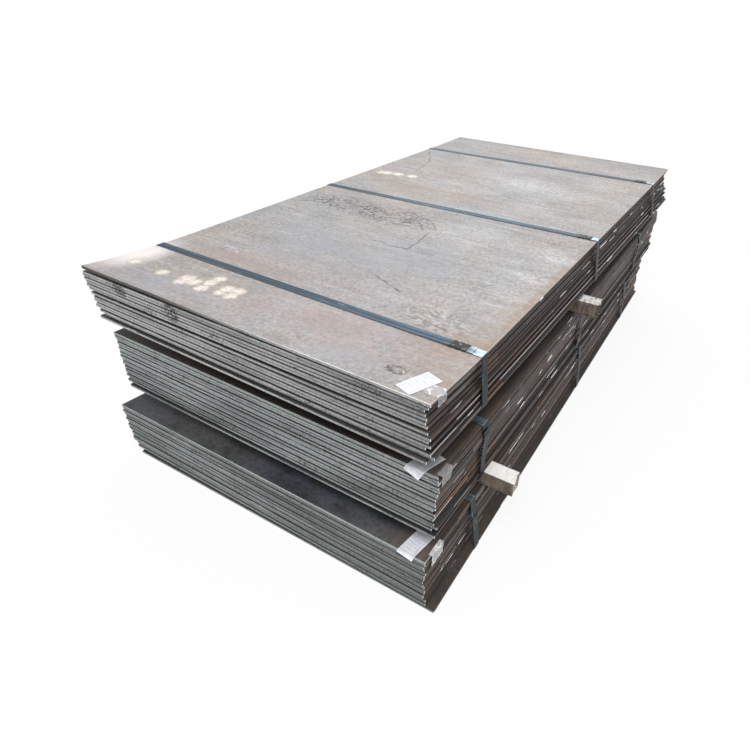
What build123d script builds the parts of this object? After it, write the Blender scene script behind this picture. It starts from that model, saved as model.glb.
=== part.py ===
from build123d import *
from dataclasses import dataclass
import math
import os

# A stack of three strapped bundles of hot-rolled steel plate, on timber spacers.
# Millimetres. X runs across the plates, Y along them away from the open front end, Z up.
# While the stack is built, X = 0 is the upper bundle's left edge and Y = 0 its front edge.

# Plate stock
PLATE_WIDTH = 1250.0
PLATE_LENGTH = 2500.0
PLATE_THICKNESS = 10.0

# Steel strapping and its crimped seals
STRAP_WIDTH = 32.0
STRAP_THICKNESS = 0.9
STRAP_CLEARANCE = 0.5
STRAP_EASE = 0.05
LAP_TAIL = 18.0
LAP_RAMP = 16.0
SEAL_LENGTH = 50.0
SEAL_WALL = 0.8
SEAL_PLAY = 0.3
SEAL_BEND = 0.7
NOTCH_DEPTH = 3.4
NOTCH_MOUTH = 6.0
NOTCH_ROOT = 3.0
NOTCH_PITCH = 20.0
FACING_SHARE = 0.7

# Timber spacers between the bundles
TIMBER_WIDTH = 60.0
TIMBER_HEIGHT = 59.0
TIMBER_WANE = 7.0
TIMBER_SEAT = 0.3
HIDDEN_TIMBER_LENGTH = 1200.0
SHOWN_TIMBER_LENGTH = 1350.0

# Free ends of the plates, which spring open beyond the outer straps
LIFT_LENGTH = 380.0
REAR_SPRING_RATIO = 0.4
CORNER_LIFT = 8.0

# Paper labels and film tapes
PAPER_THICKNESS = 0.3
FILM_THICKNESS = 0.4
SHEET_SEAT = 0.25
LABEL_LENGTH = 100.0
LABEL_WIDTH = 52.0
LABEL_REACH = 60.0


@dataclass
class Plate:
    """One plate: its front left corner, the height of its flat underside and its sprung ends."""

    x: float
    y: float
    z: float
    front_left: float
    front_right: float
    rear: float
    yaw: float = 0.0

    def half_width(self):
        return PLATE_WIDTH / 2 / math.cos(math.radians(self.yaw))

    def sides_at(self, y):
        """Left and right edge where the line y crosses the plate."""
        drift = (y - self.y - PLATE_LENGTH / 2) * math.tan(math.radians(self.yaw))
        middle = self.x + PLATE_WIDTH / 2 - drift
        return middle - self.half_width(), middle + self.half_width()

    def front_line(self, x):
        """Place of the front edge over the point x."""
        from_middle = x - self.x - PLATE_WIDTH / 2
        half_length = PLATE_LENGTH / 2 / math.cos(math.radians(self.yaw))
        return self.y + PLATE_LENGTH / 2 + from_middle * math.tan(math.radians(self.yaw)) - half_length

    def underside_at(self, y):
        """Height of the underside at the left and at the right edge on the line y."""
        heights = []
        for x, lift in zip(self.sides_at(y), (self.front_left, self.front_right)):
            from_front = y - self.front_line(x)
            heights.append(self.z + spring(from_front, lift) + spring(PLATE_LENGTH - from_front, self.rear))
        return heights

    def top_at(self, x, y):
        """Height of the top face over the point x, y."""
        left, right = self.sides_at(y)
        left_base, right_base = self.underside_at(y)
        share = (x - left) / (right - left)
        return left_base + (right_base - left_base) * share + PLATE_THICKNESS


@dataclass
class Bundle:
    """One strapped bundle: plates counted from the top, and where they have slipped and opened."""

    name: str
    count: int
    x: float
    y: float
    gap: float
    openings: dict
    side_slips: list
    end_slips: list
    strap_places: list
    strap_skews: list
    seal_places: list
    seals_on_side: bool
    top_yaw: float = 0.0
    low_yaw: float = 0.0
    bottom_yaw: float = 0.0
    top_corner_lift: float = 0.0

    def height(self):
        return self.count * PLATE_THICKNESS + (self.count - 1) * self.gap

    def lift(self, number):
        """How far a plate's front edge has sprung up: the openings under it, added up."""
        return sum(step for place, step in self.openings.items() if place >= number)

    def yaw(self, number):
        """The plates fan out evenly from the top one down, and the lowest may lie askew."""
        if number == self.count and self.bottom_yaw:
            return self.bottom_yaw
        return self.top_yaw + (self.low_yaw - self.top_yaw) * (number - 1) / (self.count - 1)

    def plates(self, base):
        """All plates from the top one down, standing on the height base."""
        made = []
        for number in range(1, self.count + 1):
            lift = self.lift(number)
            corner = self.top_corner_lift if number == 1 else 0.0
            made.append(Plate(
                x=self.x + self.side_slips[number - 1],
                y=self.y + self.end_slips[number - 1],
                z=base + (self.count - number) * (PLATE_THICKNESS + self.gap),
                front_left=lift + corner,
                front_right=lift,
                rear=lift * REAR_SPRING_RATIO,
                yaw=self.yaw(number),
            ))
        return made


@dataclass
class Spacer:
    """A timber under a bundle: its front edge, its length and how far its right end stands out."""

    name: str
    front: float
    length: float
    proud: float


@dataclass
class Label:
    """A label on a bundle: its middle from the right and front edges, its turn and its folded flap."""

    from_right: float
    behind: float
    turn: float
    flap: float = 0.0


@dataclass
class Tape:
    """A tape over the right edge: place behind the front, width, length on top and down the side."""

    behind: float
    width: float
    on_top: float
    down: float


# Bundles from the bottom up. Slips are read plate by plate, from the top plate down. An opening is how
# much the gap under a plate widens, or closes, from the flat part to the front edge.
BOTTOM = Bundle(
    name="bottom", count=18, x=29.0, y=-41.0, gap=0.95, openings={13: 1.0, 15: 7.0, 16: 3.2, 17: 2.3},
    side_slips=[-9, -10, -12, -11, -5, -8, -9, -11, -13, -10, -8, -5, -6, -7, -9, -3, -2, 18],
    end_slips=[0, 2, -1, 1, 0, -2, 1, 3, 0, -1, 2, 0, 1, -2, 0, 5, 3, 0],
    strap_places=[246.0, 1300.0, 2085.0], strap_skews=[0.0, 0.0, 0.0],
    seal_places=[92.0, 84.0, 88.0], seals_on_side=True,
    top_yaw=0.44, low_yaw=0.44, bottom_yaw=0.82,
)
MIDDLE = Bundle(
    name="middle", count=19, x=21.0, y=17.0, gap=0.9,
    openings={1: -0.5, 5: -0.5, 6: -0.5, 8: 1.2, 9: -0.5, 11: -0.5, 12: -0.5, 13: 0.8, 17: 3.5, 18: 6.0},
    side_slips=[-5, -3, -2, 1, 2, 0, -4, -5, -5, -4, -3, -12, -3, -2, -7, -3, 7, -9, 4],
    end_slips=[2, 1, 3, 0, 1, -1, 2, 0, -2, 1, 0, 2, -1, -2, 0, -3, -2, -1, -6],
    strap_places=[284.0, 1168.0, 2095.0], strap_skews=[0.0, 0.0, 0.0],
    seal_places=[60.0, 150.0, 70.0], seals_on_side=True,
    top_yaw=0.16, low_yaw=0.1,
)
TOP = Bundle(
    name="top", count=15, x=0.0, y=0.0, gap=0.95,
    openings={2: -0.4, 3: -0.4, 5: -0.5, 6: -0.5, 7: 5.4, 8: 1.2, 10: 0.4, 12: 2.8, 13: 0.8, 14: 2.4, 15: 1.8},
    side_slips=[1, -4, -14, -9, -5, -5, -1, 3, 13, 7, 15, 2, 18, 26, 11],
    end_slips=[0, 1, 3, 1, 2, 0, 2, 1, -1, 1, 0, 2, 1, 8, -1],
    strap_places=[274.0, 1222.0, 2152.0], strap_skews=[-0.9, 1.2, 1.2],
    seal_places=[70.0, 48.0, 60.0], seals_on_side=False,
    top_yaw=-0.08, low_yaw=-0.5, top_corner_lift=CORNER_LIFT,
)

LOWER_SPACERS = [
    Spacer("front", 314.0, SHOWN_TIMBER_LENGTH, 105.0),
    Spacer("middle", 1075.0, HIDDEN_TIMBER_LENGTH, -20.0),
    Spacer("rear", 1960.0, HIDDEN_TIMBER_LENGTH, -20.0),
]
UPPER_SPACERS = [
    Spacer("front", 372.0, HIDDEN_TIMBER_LENGTH, -25.0),
    Spacer("middle", 1055.0, SHOWN_TIMBER_LENGTH, 103.0),
    Spacer("rear", 1990.0, HIDDEN_TIMBER_LENGTH, -25.0),
]
LABELS = {
    "top": Label(from_right=66.0, behind=58.0, turn=-18.6),
    "middle": Label(from_right=57.0, behind=32.0, turn=-14.0, flap=24.0),
    "bottom": Label(from_right=55.0, behind=44.0, turn=-6.0),
}
TAPES = {
    "top": Tape(behind=30.0, width=40.0, on_top=40.0, down=28.0),
    "middle": Tape(behind=12.0, width=50.0, on_top=16.0, down=38.0),
    "bottom": Tape(behind=34.0, width=62.0, on_top=12.0, down=44.0),
}


def spring(from_end, lift):
    """Height that a sprung end has gained at a distance from the plate's end."""
    if lift == 0 or from_end >= LIFT_LENGTH:
        return 0.0
    radius = (LIFT_LENGTH**2 + lift**2) / (2 * abs(lift))
    reach = LIFT_LENGTH - from_end
    return math.copysign(radius - math.sqrt(radius**2 - reach**2), lift)


def sprung_edges(front, rear, height, overhang=0.0):
    """The long edges of a lengthwise section: arc, straight, arc, with the points where they meet."""
    start = (-overhang, height + spring(-overhang, front))
    front_bend = (LIFT_LENGTH, height)
    rear_bend = (PLATE_LENGTH - LIFT_LENGTH, height)
    end = (PLATE_LENGTH, height + spring(0.0, rear))
    edges = []
    if front:
        halfway = (LIFT_LENGTH - overhang) / 2
        edges.append(ThreePointArc(start, (halfway, height + spring(halfway, front)), front_bend))
        straight_start = front_bend
    else:
        straight_start = start
    if rear:
        halfway = LIFT_LENGTH / 2
        edges.append(Line(straight_start, rear_bend))
        edges.append(ThreePointArc(rear_bend, (PLATE_LENGTH - halfway, height + spring(halfway, rear)), end))
    else:
        edges.append(Line(straight_start, end))
    return edges, start, end


def lengthwise_section(front, rear, low, high, overhang=0.0, flap=0.0):
    """Face in the YZ plane between two like edges, which may fold down into a flap at the front."""
    inner = overhang - (high - low if flap else 0.0)
    lower, lower_start, lower_end = sprung_edges(front, rear, low, inner)
    upper, upper_start, upper_end = sprung_edges(front, rear, high, overhang)
    corners = [lower_start, upper_start]
    if flap:
        foot = upper_start[1] - flap
        corners = [lower_start, (-inner, foot), (-overhang, foot), upper_start]
    ends = [Line(start, end) for start, end in zip(corners, corners[1:])]
    return Plane.YZ * make_face(lower + upper + ends + [Line(lower_end, upper_end)])


def rolled_slab(plate, low, high, overhang=0.0, flap=0.0):
    """A slab that follows the plate, between two heights over its underside, with its corner at the origin."""
    left = lengthwise_section(plate.front_left, plate.rear, low, high, overhang, flap)
    if plate.front_left == plate.front_right:
        return extrude(left, amount=PLATE_WIDTH, dir=(1, 0, 0))
    right = lengthwise_section(plate.front_right, plate.rear, low, high, overhang, flap)
    return loft([left, Pos(PLATE_WIDTH, 0, 0) * right], ruled=True)


def laid(plate, slab):
    """The slab at the plate's place, turned about the plate's middle where it has slipped askew."""
    middle = Pos(PLATE_WIDTH / 2, PLATE_LENGTH / 2, 0)
    turned = middle * Rot(0, 0, plate.yaw) * middle.inverse() * slab
    return Pos(plate.x, plate.y, plate.z) * turned


def convex_outline(points):
    """Corners of the tightest closed loop round the points, counter-clockwise, without the slightest bends."""
    ordered = sorted(set(points))

    def chain(run):
        kept = []
        for point in run:
            while len(kept) > 1 and bulge(kept[-2], kept[-1], point) <= STRAP_EASE:
                kept.pop()
            kept.append(point)
        return kept[:-1]

    return chain(ordered) + chain(ordered[::-1])


def bulge(start, corner, end):
    """How far a corner stands out of the straight line from start to end."""
    run = (end[0] - start[0], end[1] - start[1])
    reach = (corner[0] - start[0], corner[1] - start[1])
    return (reach[0] * run[1] - reach[1] * run[0]) / math.hypot(*run)


@dataclass
class StrapLine:
    """The line a strap is laid along: its middle and how far it is turned off square."""

    pivot_x: float
    centre: float
    skew: float

    def line_at(self, x):
        """Place along the bundle of the strap's middle line over the point x."""
        return self.centre + (x - self.pivot_x) * math.tan(math.radians(self.skew))

    def along(self, x, y):
        """Distance along the strap, counted so that the pivot keeps its own place."""
        turn_angle = math.radians(self.skew)
        return (self.pivot_x + (x - self.pivot_x) * math.cos(turn_angle)
                + (y - self.centre) * math.sin(turn_angle))


def seal_middle(plates, strap, place, on_side):
    """Where the seal's middle lies: its height on the side, or its place along the strap on top."""
    top = plates[0]
    if on_side:
        return top.z + PLATE_THICKNESS - place
    edge = top.sides_at(strap.centre)[1]
    return strap.along(edge, strap.line_at(edge)) - place


def seal_leaf_points(plates, strap, place, on_side):
    """Corners of the seal's inner leaf, which the strap has to run over."""
    half = SEAL_LENGTH / 2
    lift = SEAL_WALL + SEAL_PLAY
    middle = seal_middle(plates, strap, place, on_side)
    edge = plates[0].sides_at(strap.centre)[1]
    across = (strap.line_at(edge) - STRAP_WIDTH / 2, strap.line_at(edge) + STRAP_WIDTH / 2)
    if not on_side:
        crown = max(plates[0].top_at(middle - half, y) for y in across)
        return [(middle - half, crown + lift), (middle + half, crown + lift)]
    beside = [plate for plate in plates if abs(plate.z + PLATE_THICKNESS / 2 - middle) < half + PLATE_THICKNESS]
    edge = max(strap.along(plate.sides_at(y)[1], y) for plate in beside for y in across)
    return [(edge + lift, middle - half), (edge + lift, middle + half)]


def strap_outline(plates, strap, seal_place, on_side):
    """Loop of the steel section at the strap's place, which the tight strap follows."""
    half = STRAP_WIDTH / 2
    points = seal_leaf_points(plates, strap, seal_place, on_side)
    for plate in plates:
        for side, near_x in enumerate(plate.sides_at(strap.centre)):
            for y in (strap.line_at(near_x) - half, strap.line_at(near_x) + half):
                along = strap.along(plate.sides_at(y)[side], y)
                base = plate.underside_at(y)[side]
                points += [(along, base), (along, base + PLATE_THICKNESS)]
    return convex_outline(points)


def run_under_seal(outline, middle, on_side):
    """Plane on the strap's inner face under the seal: x along the strap, y across it, z outwards."""
    best = None
    for start, end in zip(outline, outline[1:] + outline[:1]):
        along = (end[0] - start[0], end[1] - start[1])
        length = math.hypot(*along)
        outward = (along[1] / length, -along[0] / length)
        facing = outward[0] if on_side else outward[1]
        low, high = sorted((start[1], end[1]) if on_side else (start[0], end[0]))
        if facing < FACING_SHARE or not low <= middle <= high:
            continue
        share = (middle - (start[1] if on_side else start[0])) / (along[1] if on_side else along[0])
        spot = (start[0] + along[0] * share, start[1] + along[1] * share)
        if best is None or length > best[0]:
            best = (length, spot, along, outward)
    length, spot, along, outward = best
    origin = (spot[0] + outward[0] * STRAP_CLEARANCE, 0.0, spot[1] + outward[1] * STRAP_CLEARANCE)
    return Plane(origin=origin, x_dir=(along[0], 0.0, along[1]), z_dir=(outward[0], 0.0, outward[1]))


def notches():
    """Four tapered punches that cut the joint's notches through the seal and the strap under it."""
    edge = STRAP_WIDTH / 2 + SEAL_PLAY + SEAL_WALL
    mouth = NOTCH_MOUTH / 2
    root = NOTCH_ROOT / 2
    depth = edge - NOTCH_DEPTH
    outside = edge + NOTCH_DEPTH
    tooth = make_face(Polyline(
        (-mouth, outside), (-mouth, edge), (-root, depth),
        (root, depth), (mouth, edge), (mouth, outside), close=True,
    ))
    punch = extrude(tooth, amount=6 * STRAP_THICKNESS, both=True)
    pair = [Pos(x, 0, 0) * punch for x in (-NOTCH_PITCH / 2, NOTCH_PITCH / 2)]
    return pair + [Rot(0, 0, 180) * one for one in pair]


def strap_solid(outline, seal_plane):
    """A closed band round the bundle, its upper end lapped over its lower one through the seal."""
    core = make_face(Polyline(*outline, close=True))
    inner = offset(core, amount=STRAP_CLEARANCE, kind=Kind.ARC)
    outer = offset(core, amount=STRAP_CLEARANCE + STRAP_THICKNESS, kind=Kind.ARC)
    band = Plane.XZ * (outer - inner)
    loop = extrude(band, amount=STRAP_WIDTH / 2, both=True)
    tail = SEAL_LENGTH / 2 + LAP_TAIL
    merge = SEAL_LENGTH / 2 + SEAL_PLAY
    lap = make_face(Polyline(
        (-tail, STRAP_THICKNESS), (merge + LAP_RAMP, STRAP_THICKNESS),
        (merge, 2 * STRAP_THICKNESS), (-tail, 2 * STRAP_THICKNESS), close=True,
    ))
    lap = extrude(Plane.XZ * lap, amount=STRAP_WIDTH / 2, both=True)
    joined = loop + seal_plane.location * lap
    return joined - [seal_plane.location * punch for punch in notches()]


def seal_solid():
    """A folded steel sleeve round both strap ends, notched at its edges."""
    inside_low = -SEAL_PLAY
    inside_high = 2 * STRAP_THICKNESS + SEAL_PLAY
    inside_width = STRAP_WIDTH + 2 * SEAL_PLAY
    height = inside_high - inside_low + 2 * SEAL_WALL
    middle = Pos(0, 0, (inside_low + inside_high) / 2)
    shell = Box(SEAL_LENGTH, inside_width + 2 * SEAL_WALL, height)
    shell = chamfer(shell.edges().filter_by(Axis.X), SEAL_BEND)
    shell = shell - Box(2 * SEAL_LENGTH, inside_width, inside_high - inside_low)
    return middle * shell - notches()


def placed_strap(bundle, plates, number):
    """A strap and its seal at their place along the bundle, turned by the strap's skew."""
    strap = StrapLine(bundle.x + PLATE_WIDTH / 2, bundle.strap_places[number], bundle.strap_skews[number])
    place = bundle.seal_places[number]
    outline = strap_outline(plates, strap, place, bundle.seals_on_side)
    middle = seal_middle(plates, strap, place, bundle.seals_on_side)
    seal_plane = run_under_seal(outline, middle, bundle.seals_on_side)
    skewed = Pos(strap.pivot_x, strap.centre, 0) * Rot(0, 0, strap.skew) * Pos(-strap.pivot_x, 0, 0)
    return skewed * strap_solid(outline, seal_plane), skewed * seal_plane.location * seal_solid()


def timber_solid(length):
    """A sawn spacer with the wane of the log left on one lower corner."""
    half = TIMBER_WIDTH / 2
    section = make_face(Polyline(
        (-half + TIMBER_WANE, 0), (half, 0), (half, TIMBER_HEIGHT),
        (-half, TIMBER_HEIGHT), (-half, 1.4 * TIMBER_WANE), close=True,
    ))
    return extrude(Plane.YZ * section, amount=-length)


def timbers(level, spacers, bundle_above, base):
    """The spacers of one level, each by the place of its front edge and its right end."""
    made = {}
    for spacer in spacers:
        right_end = bundle_above.x + PLATE_WIDTH + spacer.proud
        spot = Pos(right_end, spacer.front + TIMBER_WIDTH / 2, base)
        made[f"{level}_{spacer.name}_timber"] = spot * timber_solid(spacer.length)
    return made


def label_solid(plates, bundle, label):
    """A paper label that follows the sprung end of its plate, and may fold down over the front edge."""
    top = plates[0]
    low = PLATE_THICKNESS + SHEET_SEAT
    across = bundle.x + PLATE_WIDTH - label.from_right
    overhang = LABEL_REACH
    if label.flap:
        covered = [plate for plate in plates if plate.z + PLATE_THICKNESS > top.z - label.flap]
        foremost = min(plate.front_line(across) for plate in covered)
        overhang = top.front_line(across) - foremost + SHEET_SEAT + PAPER_THICKNESS
    skin = laid(top, rolled_slab(top, low, low + PAPER_THICKNESS, overhang, label.flap))
    outline = Pos(across, bundle.y + label.behind, top.z) * Rot(0, 0, label.turn)
    return skin & outline * Box(LABEL_WIDTH, LABEL_LENGTH, 2 * TIMBER_HEIGHT)


def tape_solid(plates, bundle, tape):
    """A piece of film stuck to the top plate and folded down over the bundle's right side."""
    top = plates[0]
    y_low = bundle.y + tape.behind
    y_high = y_low + tape.width
    inner = top.sides_at(y_low)[1] - tape.on_top
    near = max(top.top_at(inner, y) for y in (y_low, y_high)) + SHEET_SEAT
    covered = [plate for plate in plates if plate.z + PLATE_THICKNESS > top.z - tape.down]
    side = max(plate.sides_at(y_low)[1] for plate in covered) + SHEET_SEAT
    down = tape.down
    film = FILM_THICKNESS
    fold = make_face(Polyline(
        (inner, near), (side, near), (side, near - down), (side + film, near - down),
        (side + film, near + film), (inner, near + film), close=True,
    ))
    return Pos(0, y_low, 0) * extrude(Plane.XZ * fold, amount=-tape.width)


def build():
    """All pieces by node name."""
    pieces = {}
    base = STRAP_THICKNESS + STRAP_CLEARANCE
    spacer_rise = TIMBER_HEIGHT + 2 * TIMBER_SEAT
    levels = {"middle": ("lower", LOWER_SPACERS), "top": ("upper", UPPER_SPACERS)}
    for bundle in (BOTTOM, MIDDLE, TOP):
        if bundle.name in levels:
            level, spacers = levels[bundle.name]
            pieces.update(timbers(level, spacers, bundle, base + TIMBER_SEAT))
            base += spacer_rise
        plates = bundle.plates(base)
        solids = [laid(plate, rolled_slab(plate, 0.0, PLATE_THICKNESS)) for plate in plates]
        pieces[f"{bundle.name}_bundle_top_plate"] = solids[0]
        pieces[f"{bundle.name}_bundle_plates"] = Compound(children=solids[1:])
        for number, place in enumerate(("front", "middle", "rear")):
            strap, seal = placed_strap(bundle, plates, number)
            pieces[f"{bundle.name}_{place}_strap"] = strap
            pieces[f"{bundle.name}_{place}_seal"] = seal
        pieces[f"{bundle.name}_label"] = label_solid(plates, bundle, LABELS[bundle.name])
        pieces[f"{bundle.name}_tape"] = tape_solid(plates, bundle, TAPES[bundle.name])
        base += bundle.height()
    return pieces


def stand_on_origin(pieces):
    """Move the whole stack so that its box stands centred on the origin."""
    box = Compound([solid for piece in pieces.values() for solid in piece.solids()]).bounding_box()
    shift = Pos(-(box.min.X + box.max.X) / 2, -(box.min.Y + box.max.Y) / 2, -box.min.Z)
    return {name: shift * piece for name, piece in pieces.items()}


os.makedirs("parts", exist_ok=True)
for node, piece in stand_on_origin(build()).items():
    export_step(piece, f"parts/{node}.step")
    print(node, [round(value, 2) for value in piece.bounding_box().size])
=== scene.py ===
"""Three strapped bundles of hot-rolled steel plate on timber spacers, dressed for a studio picture.

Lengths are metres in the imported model's own frame: Z up, Y along the plates away from their
open front ends, X across them towards the side that the spacer ends stand out of.
"""

from __future__ import annotations

import logging
import math
from dataclasses import dataclass, replace
from enum import Enum

import bpy
from mathutils import Euler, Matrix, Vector, noise
from mathutils.bvhtree import BVHTree

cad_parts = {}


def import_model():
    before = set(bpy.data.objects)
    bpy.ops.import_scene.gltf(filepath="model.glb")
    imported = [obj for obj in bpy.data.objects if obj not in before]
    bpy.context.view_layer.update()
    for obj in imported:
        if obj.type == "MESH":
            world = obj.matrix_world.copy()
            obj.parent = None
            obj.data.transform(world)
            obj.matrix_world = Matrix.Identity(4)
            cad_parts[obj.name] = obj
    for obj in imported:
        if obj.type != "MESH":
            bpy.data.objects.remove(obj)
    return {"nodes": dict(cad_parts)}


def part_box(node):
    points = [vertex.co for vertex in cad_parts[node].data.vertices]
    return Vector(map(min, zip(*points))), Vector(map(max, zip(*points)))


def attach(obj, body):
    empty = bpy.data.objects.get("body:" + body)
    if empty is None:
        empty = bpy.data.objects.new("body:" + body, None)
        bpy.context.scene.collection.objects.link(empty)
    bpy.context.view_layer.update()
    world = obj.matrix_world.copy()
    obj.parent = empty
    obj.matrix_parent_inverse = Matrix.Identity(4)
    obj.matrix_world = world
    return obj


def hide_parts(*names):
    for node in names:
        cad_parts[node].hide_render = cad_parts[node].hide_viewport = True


MM = 0.001
BODY = "root"

# Short names for Blender's own types.
Tree, Socket, Node = bpy.types.NodeTree, bpy.types.NodeSocket, bpy.types.Node
Material, Object = bpy.types.Material, bpy.types.Object

# The colour mix node's sockets are found by number, because its names repeat.
MIX_UNDER, MIX_OVER, MIX_RESULT = 6, 7, 2

# The middle of a noise's range, and of a sheet's map.
MIDDLE = 0.5

# Rays at the stack start above it or in front of it, this far from the frame's origin.
SKY = 5.0
IN_FRONT = -3.0

WHITE = "#ffffff"
BLACK = "#000000"

log = logging.getLogger("plate_stack")


def linear(hex_colour: str) -> tuple[float, float, float, float]:
    """Turn an sRGB hex colour into the linear colour that shaders take.

    Args:
        hex_colour: six hex digits after a hash sign.

    Returns:
        Linear red, green and blue, and an alpha of one.
    """
    channels = [int(hex_colour[i : i + 2], 16) / 255 for i in (1, 3, 5)]
    toned = [c / 12.92 if c <= 0.04045 else ((c + 0.055) / 1.055) ** 2.4 for c in channels]
    return (toned[0], toned[1], toned[2], 1.0)


def add_node(tree: Tree, kind: str, links: dict | None = None, **settings: object) -> Node:
    """Add one shader node with its settings and links.

    Args:
        tree: node tree of the material or world.
        kind: the node's class name without its ShaderNode prefix.
        links: input name or number to a socket that feeds it, or to a value set on it.
        settings: properties of the node itself.

    Returns:
        The new node.
    """
    made = tree.nodes.new("ShaderNode" + kind)
    for name, value in settings.items():
        setattr(made, name, value)
    for name, value in (links or {}).items():
        if isinstance(value, Socket):
            tree.links.new(value, made.inputs[name])
        else:
            made.inputs[name].default_value = value
    return made


def patches(
    tree: Tree,
    place: Socket,
    size: tuple[float, float, float],
    cover: float,
    soft: float,
    detail: float,
    rough: float,
    seed: float,
) -> Socket:
    """Soft-edged patches spread unevenly over a surface.

    Args:
        tree: node tree they are made in.
        place: the surface's own coordinates, in metres or as a sheet's map.
        size: typical width of a patch along each axis, in thousandths of the coordinates' unit,
            which are mm unless the coordinates are a sheet's map.
        cover: middle of the patch's edge in the noise's range; lower covers more.
        soft: width of the patch's edge in the same range.
        detail: how many finer layers break up the edge.
        rough: weight of each finer layer.
        seed: shift that makes one set of patches unlike another.

    Returns:
        A mask, 0 outside the patches and 1 inside.
    """
    scaled = add_node(
        tree,
        "Mapping",
        {
            "Vector": place,
            "Location": (seed, seed * 1.7, seed * 0.6),
            "Scale": [1 / (s * MM) for s in size],
        },
    )
    cloud = add_node(
        tree,
        "TexNoise",
        {"Vector": scaled.outputs[0], "Scale": 1.0, "Detail": detail, "Roughness": rough},
    )
    mask = add_node(
        tree,
        "MapRange",
        {"Value": cloud.outputs["Fac"], "From Min": cover - soft / 2, "From Max": cover + soft / 2},
        interpolation_type="SMOOTHSTEP",
    )
    return mask.outputs["Result"]


def new_material(name: str) -> tuple[Material, Tree, Node]:
    """Start a node material.

    Args:
        name: the finish's name.

    Returns:
        The material, its node tree and its surface shader.
    """
    material = bpy.data.materials.new(name)
    material.use_nodes = True
    return material, material.node_tree, material.node_tree.nodes["Principled BSDF"]


@dataclass(frozen=True)
class Spot:
    """An oval place on a plate, in mm: its middle, from the front left corner, and half widths."""

    x: float
    y: float
    across: float
    along: float


def oval(tree: Tree, place: Socket, spot: Spot, inner: float) -> Socket:
    """Soft mask over an oval place.

    Args:
        tree: node tree it is made in.
        place: coordinates in metres from the plate's front left corner.
        spot: the oval.
        inner: share of its half widths inside which the mask is full.

    Returns:
        A mask, 1 in the middle and 0 outside.
    """
    across, along = spot.across * MM, spot.along * MM
    centred = add_node(
        tree,
        "Mapping",
        {
            "Vector": place,
            "Location": (-spot.x * MM / across, -spot.y * MM / along, 0.0),
            "Scale": (1 / across, 1 / along, 0.0),
        },
    ).outputs[0]
    away = add_node(tree, "VectorMath", {0: centred}, operation="LENGTH").outputs["Value"]
    return add_node(
        tree,
        "MapRange",
        {"Value": away, "From Min": 1.0, "From Max": inner},
        interpolation_type="SMOOTHSTEP",
    ).outputs["Result"]


def joined(tree: Tree, first: Socket, *others: Socket, how: str = "MULTIPLY") -> Socket:
    """Join masks into one that is full only where each of them is, or as another way says.

    Args:
        tree: node tree it is made in.
        first: one mask.
        others: the other masks.
        how: the Math node's way to join two of them.

    Returns:
        The joined mask.
    """
    for other in others:
        first = add_node(tree, "Math", {0: first, 1: other}, operation=how).outputs[0]
    return first


def coated(tree: Tree, colour: Socket | str, *coats: tuple[Socket, float, Socket | str]) -> Socket:
    """Lay thin coats over a colour, one on another.

    Args:
        tree: node tree they are made in.
        colour: the colour under them, as a socket or an sRGB hex colour.
        coats: for each coat its mask, its strength and its colour, given in the same way.

    Returns:
        The colour with the coats on it.
    """
    for mask, strength, shade in coats:
        amount = add_node(tree, "Math", {0: mask, 1: strength}, operation="MULTIPLY").outputs[0]
        under, over = (linear(c) if isinstance(c, str) else c for c in (colour, shade))
        colour = add_node(
            tree, "Mix", {0: amount, MIX_UNDER: under, MIX_OVER: over}, data_type="RGBA"
        ).outputs[MIX_RESULT]
    return colour


def contour(tree: Tree, value: Socket, half_width: float, core: float) -> Socket:
    """Thin line where noise passes its middle level, as creases and curled marks run.

    Args:
        tree: node tree it is made in.
        value: the noise.
        half_width: how far from the middle level the line ends, in the noise's range.
        core: how far from it the line is full.

    Returns:
        A mask of the line.
    """
    off = add_node(tree, "Math", {0: value, 1: MIDDLE}, operation="SUBTRACT").outputs[0]
    off = add_node(tree, "Math", {0: off}, operation="ABSOLUTE").outputs[0]
    return add_node(
        tree, "MapRange", {"Value": off, "From Min": half_width, "From Max": core}
    ).outputs["Result"]


def wavering(tree: Tree, place: Socket, waves: float, detail: float, reach: float) -> Socket:
    """Flat coordinates that waver, so that what is drawn on them gets uneven outlines.

    Args:
        tree: node tree they are made in.
        place: coordinates in metres.
        waves: about how many waves there are in a metre.
        detail: how many finer layers break them up.
        reach: how far the coordinates swing, in metres.

    Returns:
        The coordinates, with no height.
    """
    cloud = add_node(tree, "TexNoise", {"Vector": place, "Scale": waves, "Detail": detail})
    swing = add_node(
        tree, "VectorMath", {0: cloud.outputs["Color"], "Scale": reach}, operation="SCALE"
    ).outputs[0]
    bent = add_node(tree, "VectorMath", {0: place, 1: swing}, operation="ADD").outputs[0]
    middle = (reach / 2, reach / 2, 0.0)
    bent = add_node(tree, "VectorMath", {0: bent, 1: middle}, operation="SUBTRACT").outputs[0]
    return add_node(
        tree, "VectorMath", {0: bent, 1: (1.0, 1.0, 0.0)}, operation="MULTIPLY"
    ).outputs[0]


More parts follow.
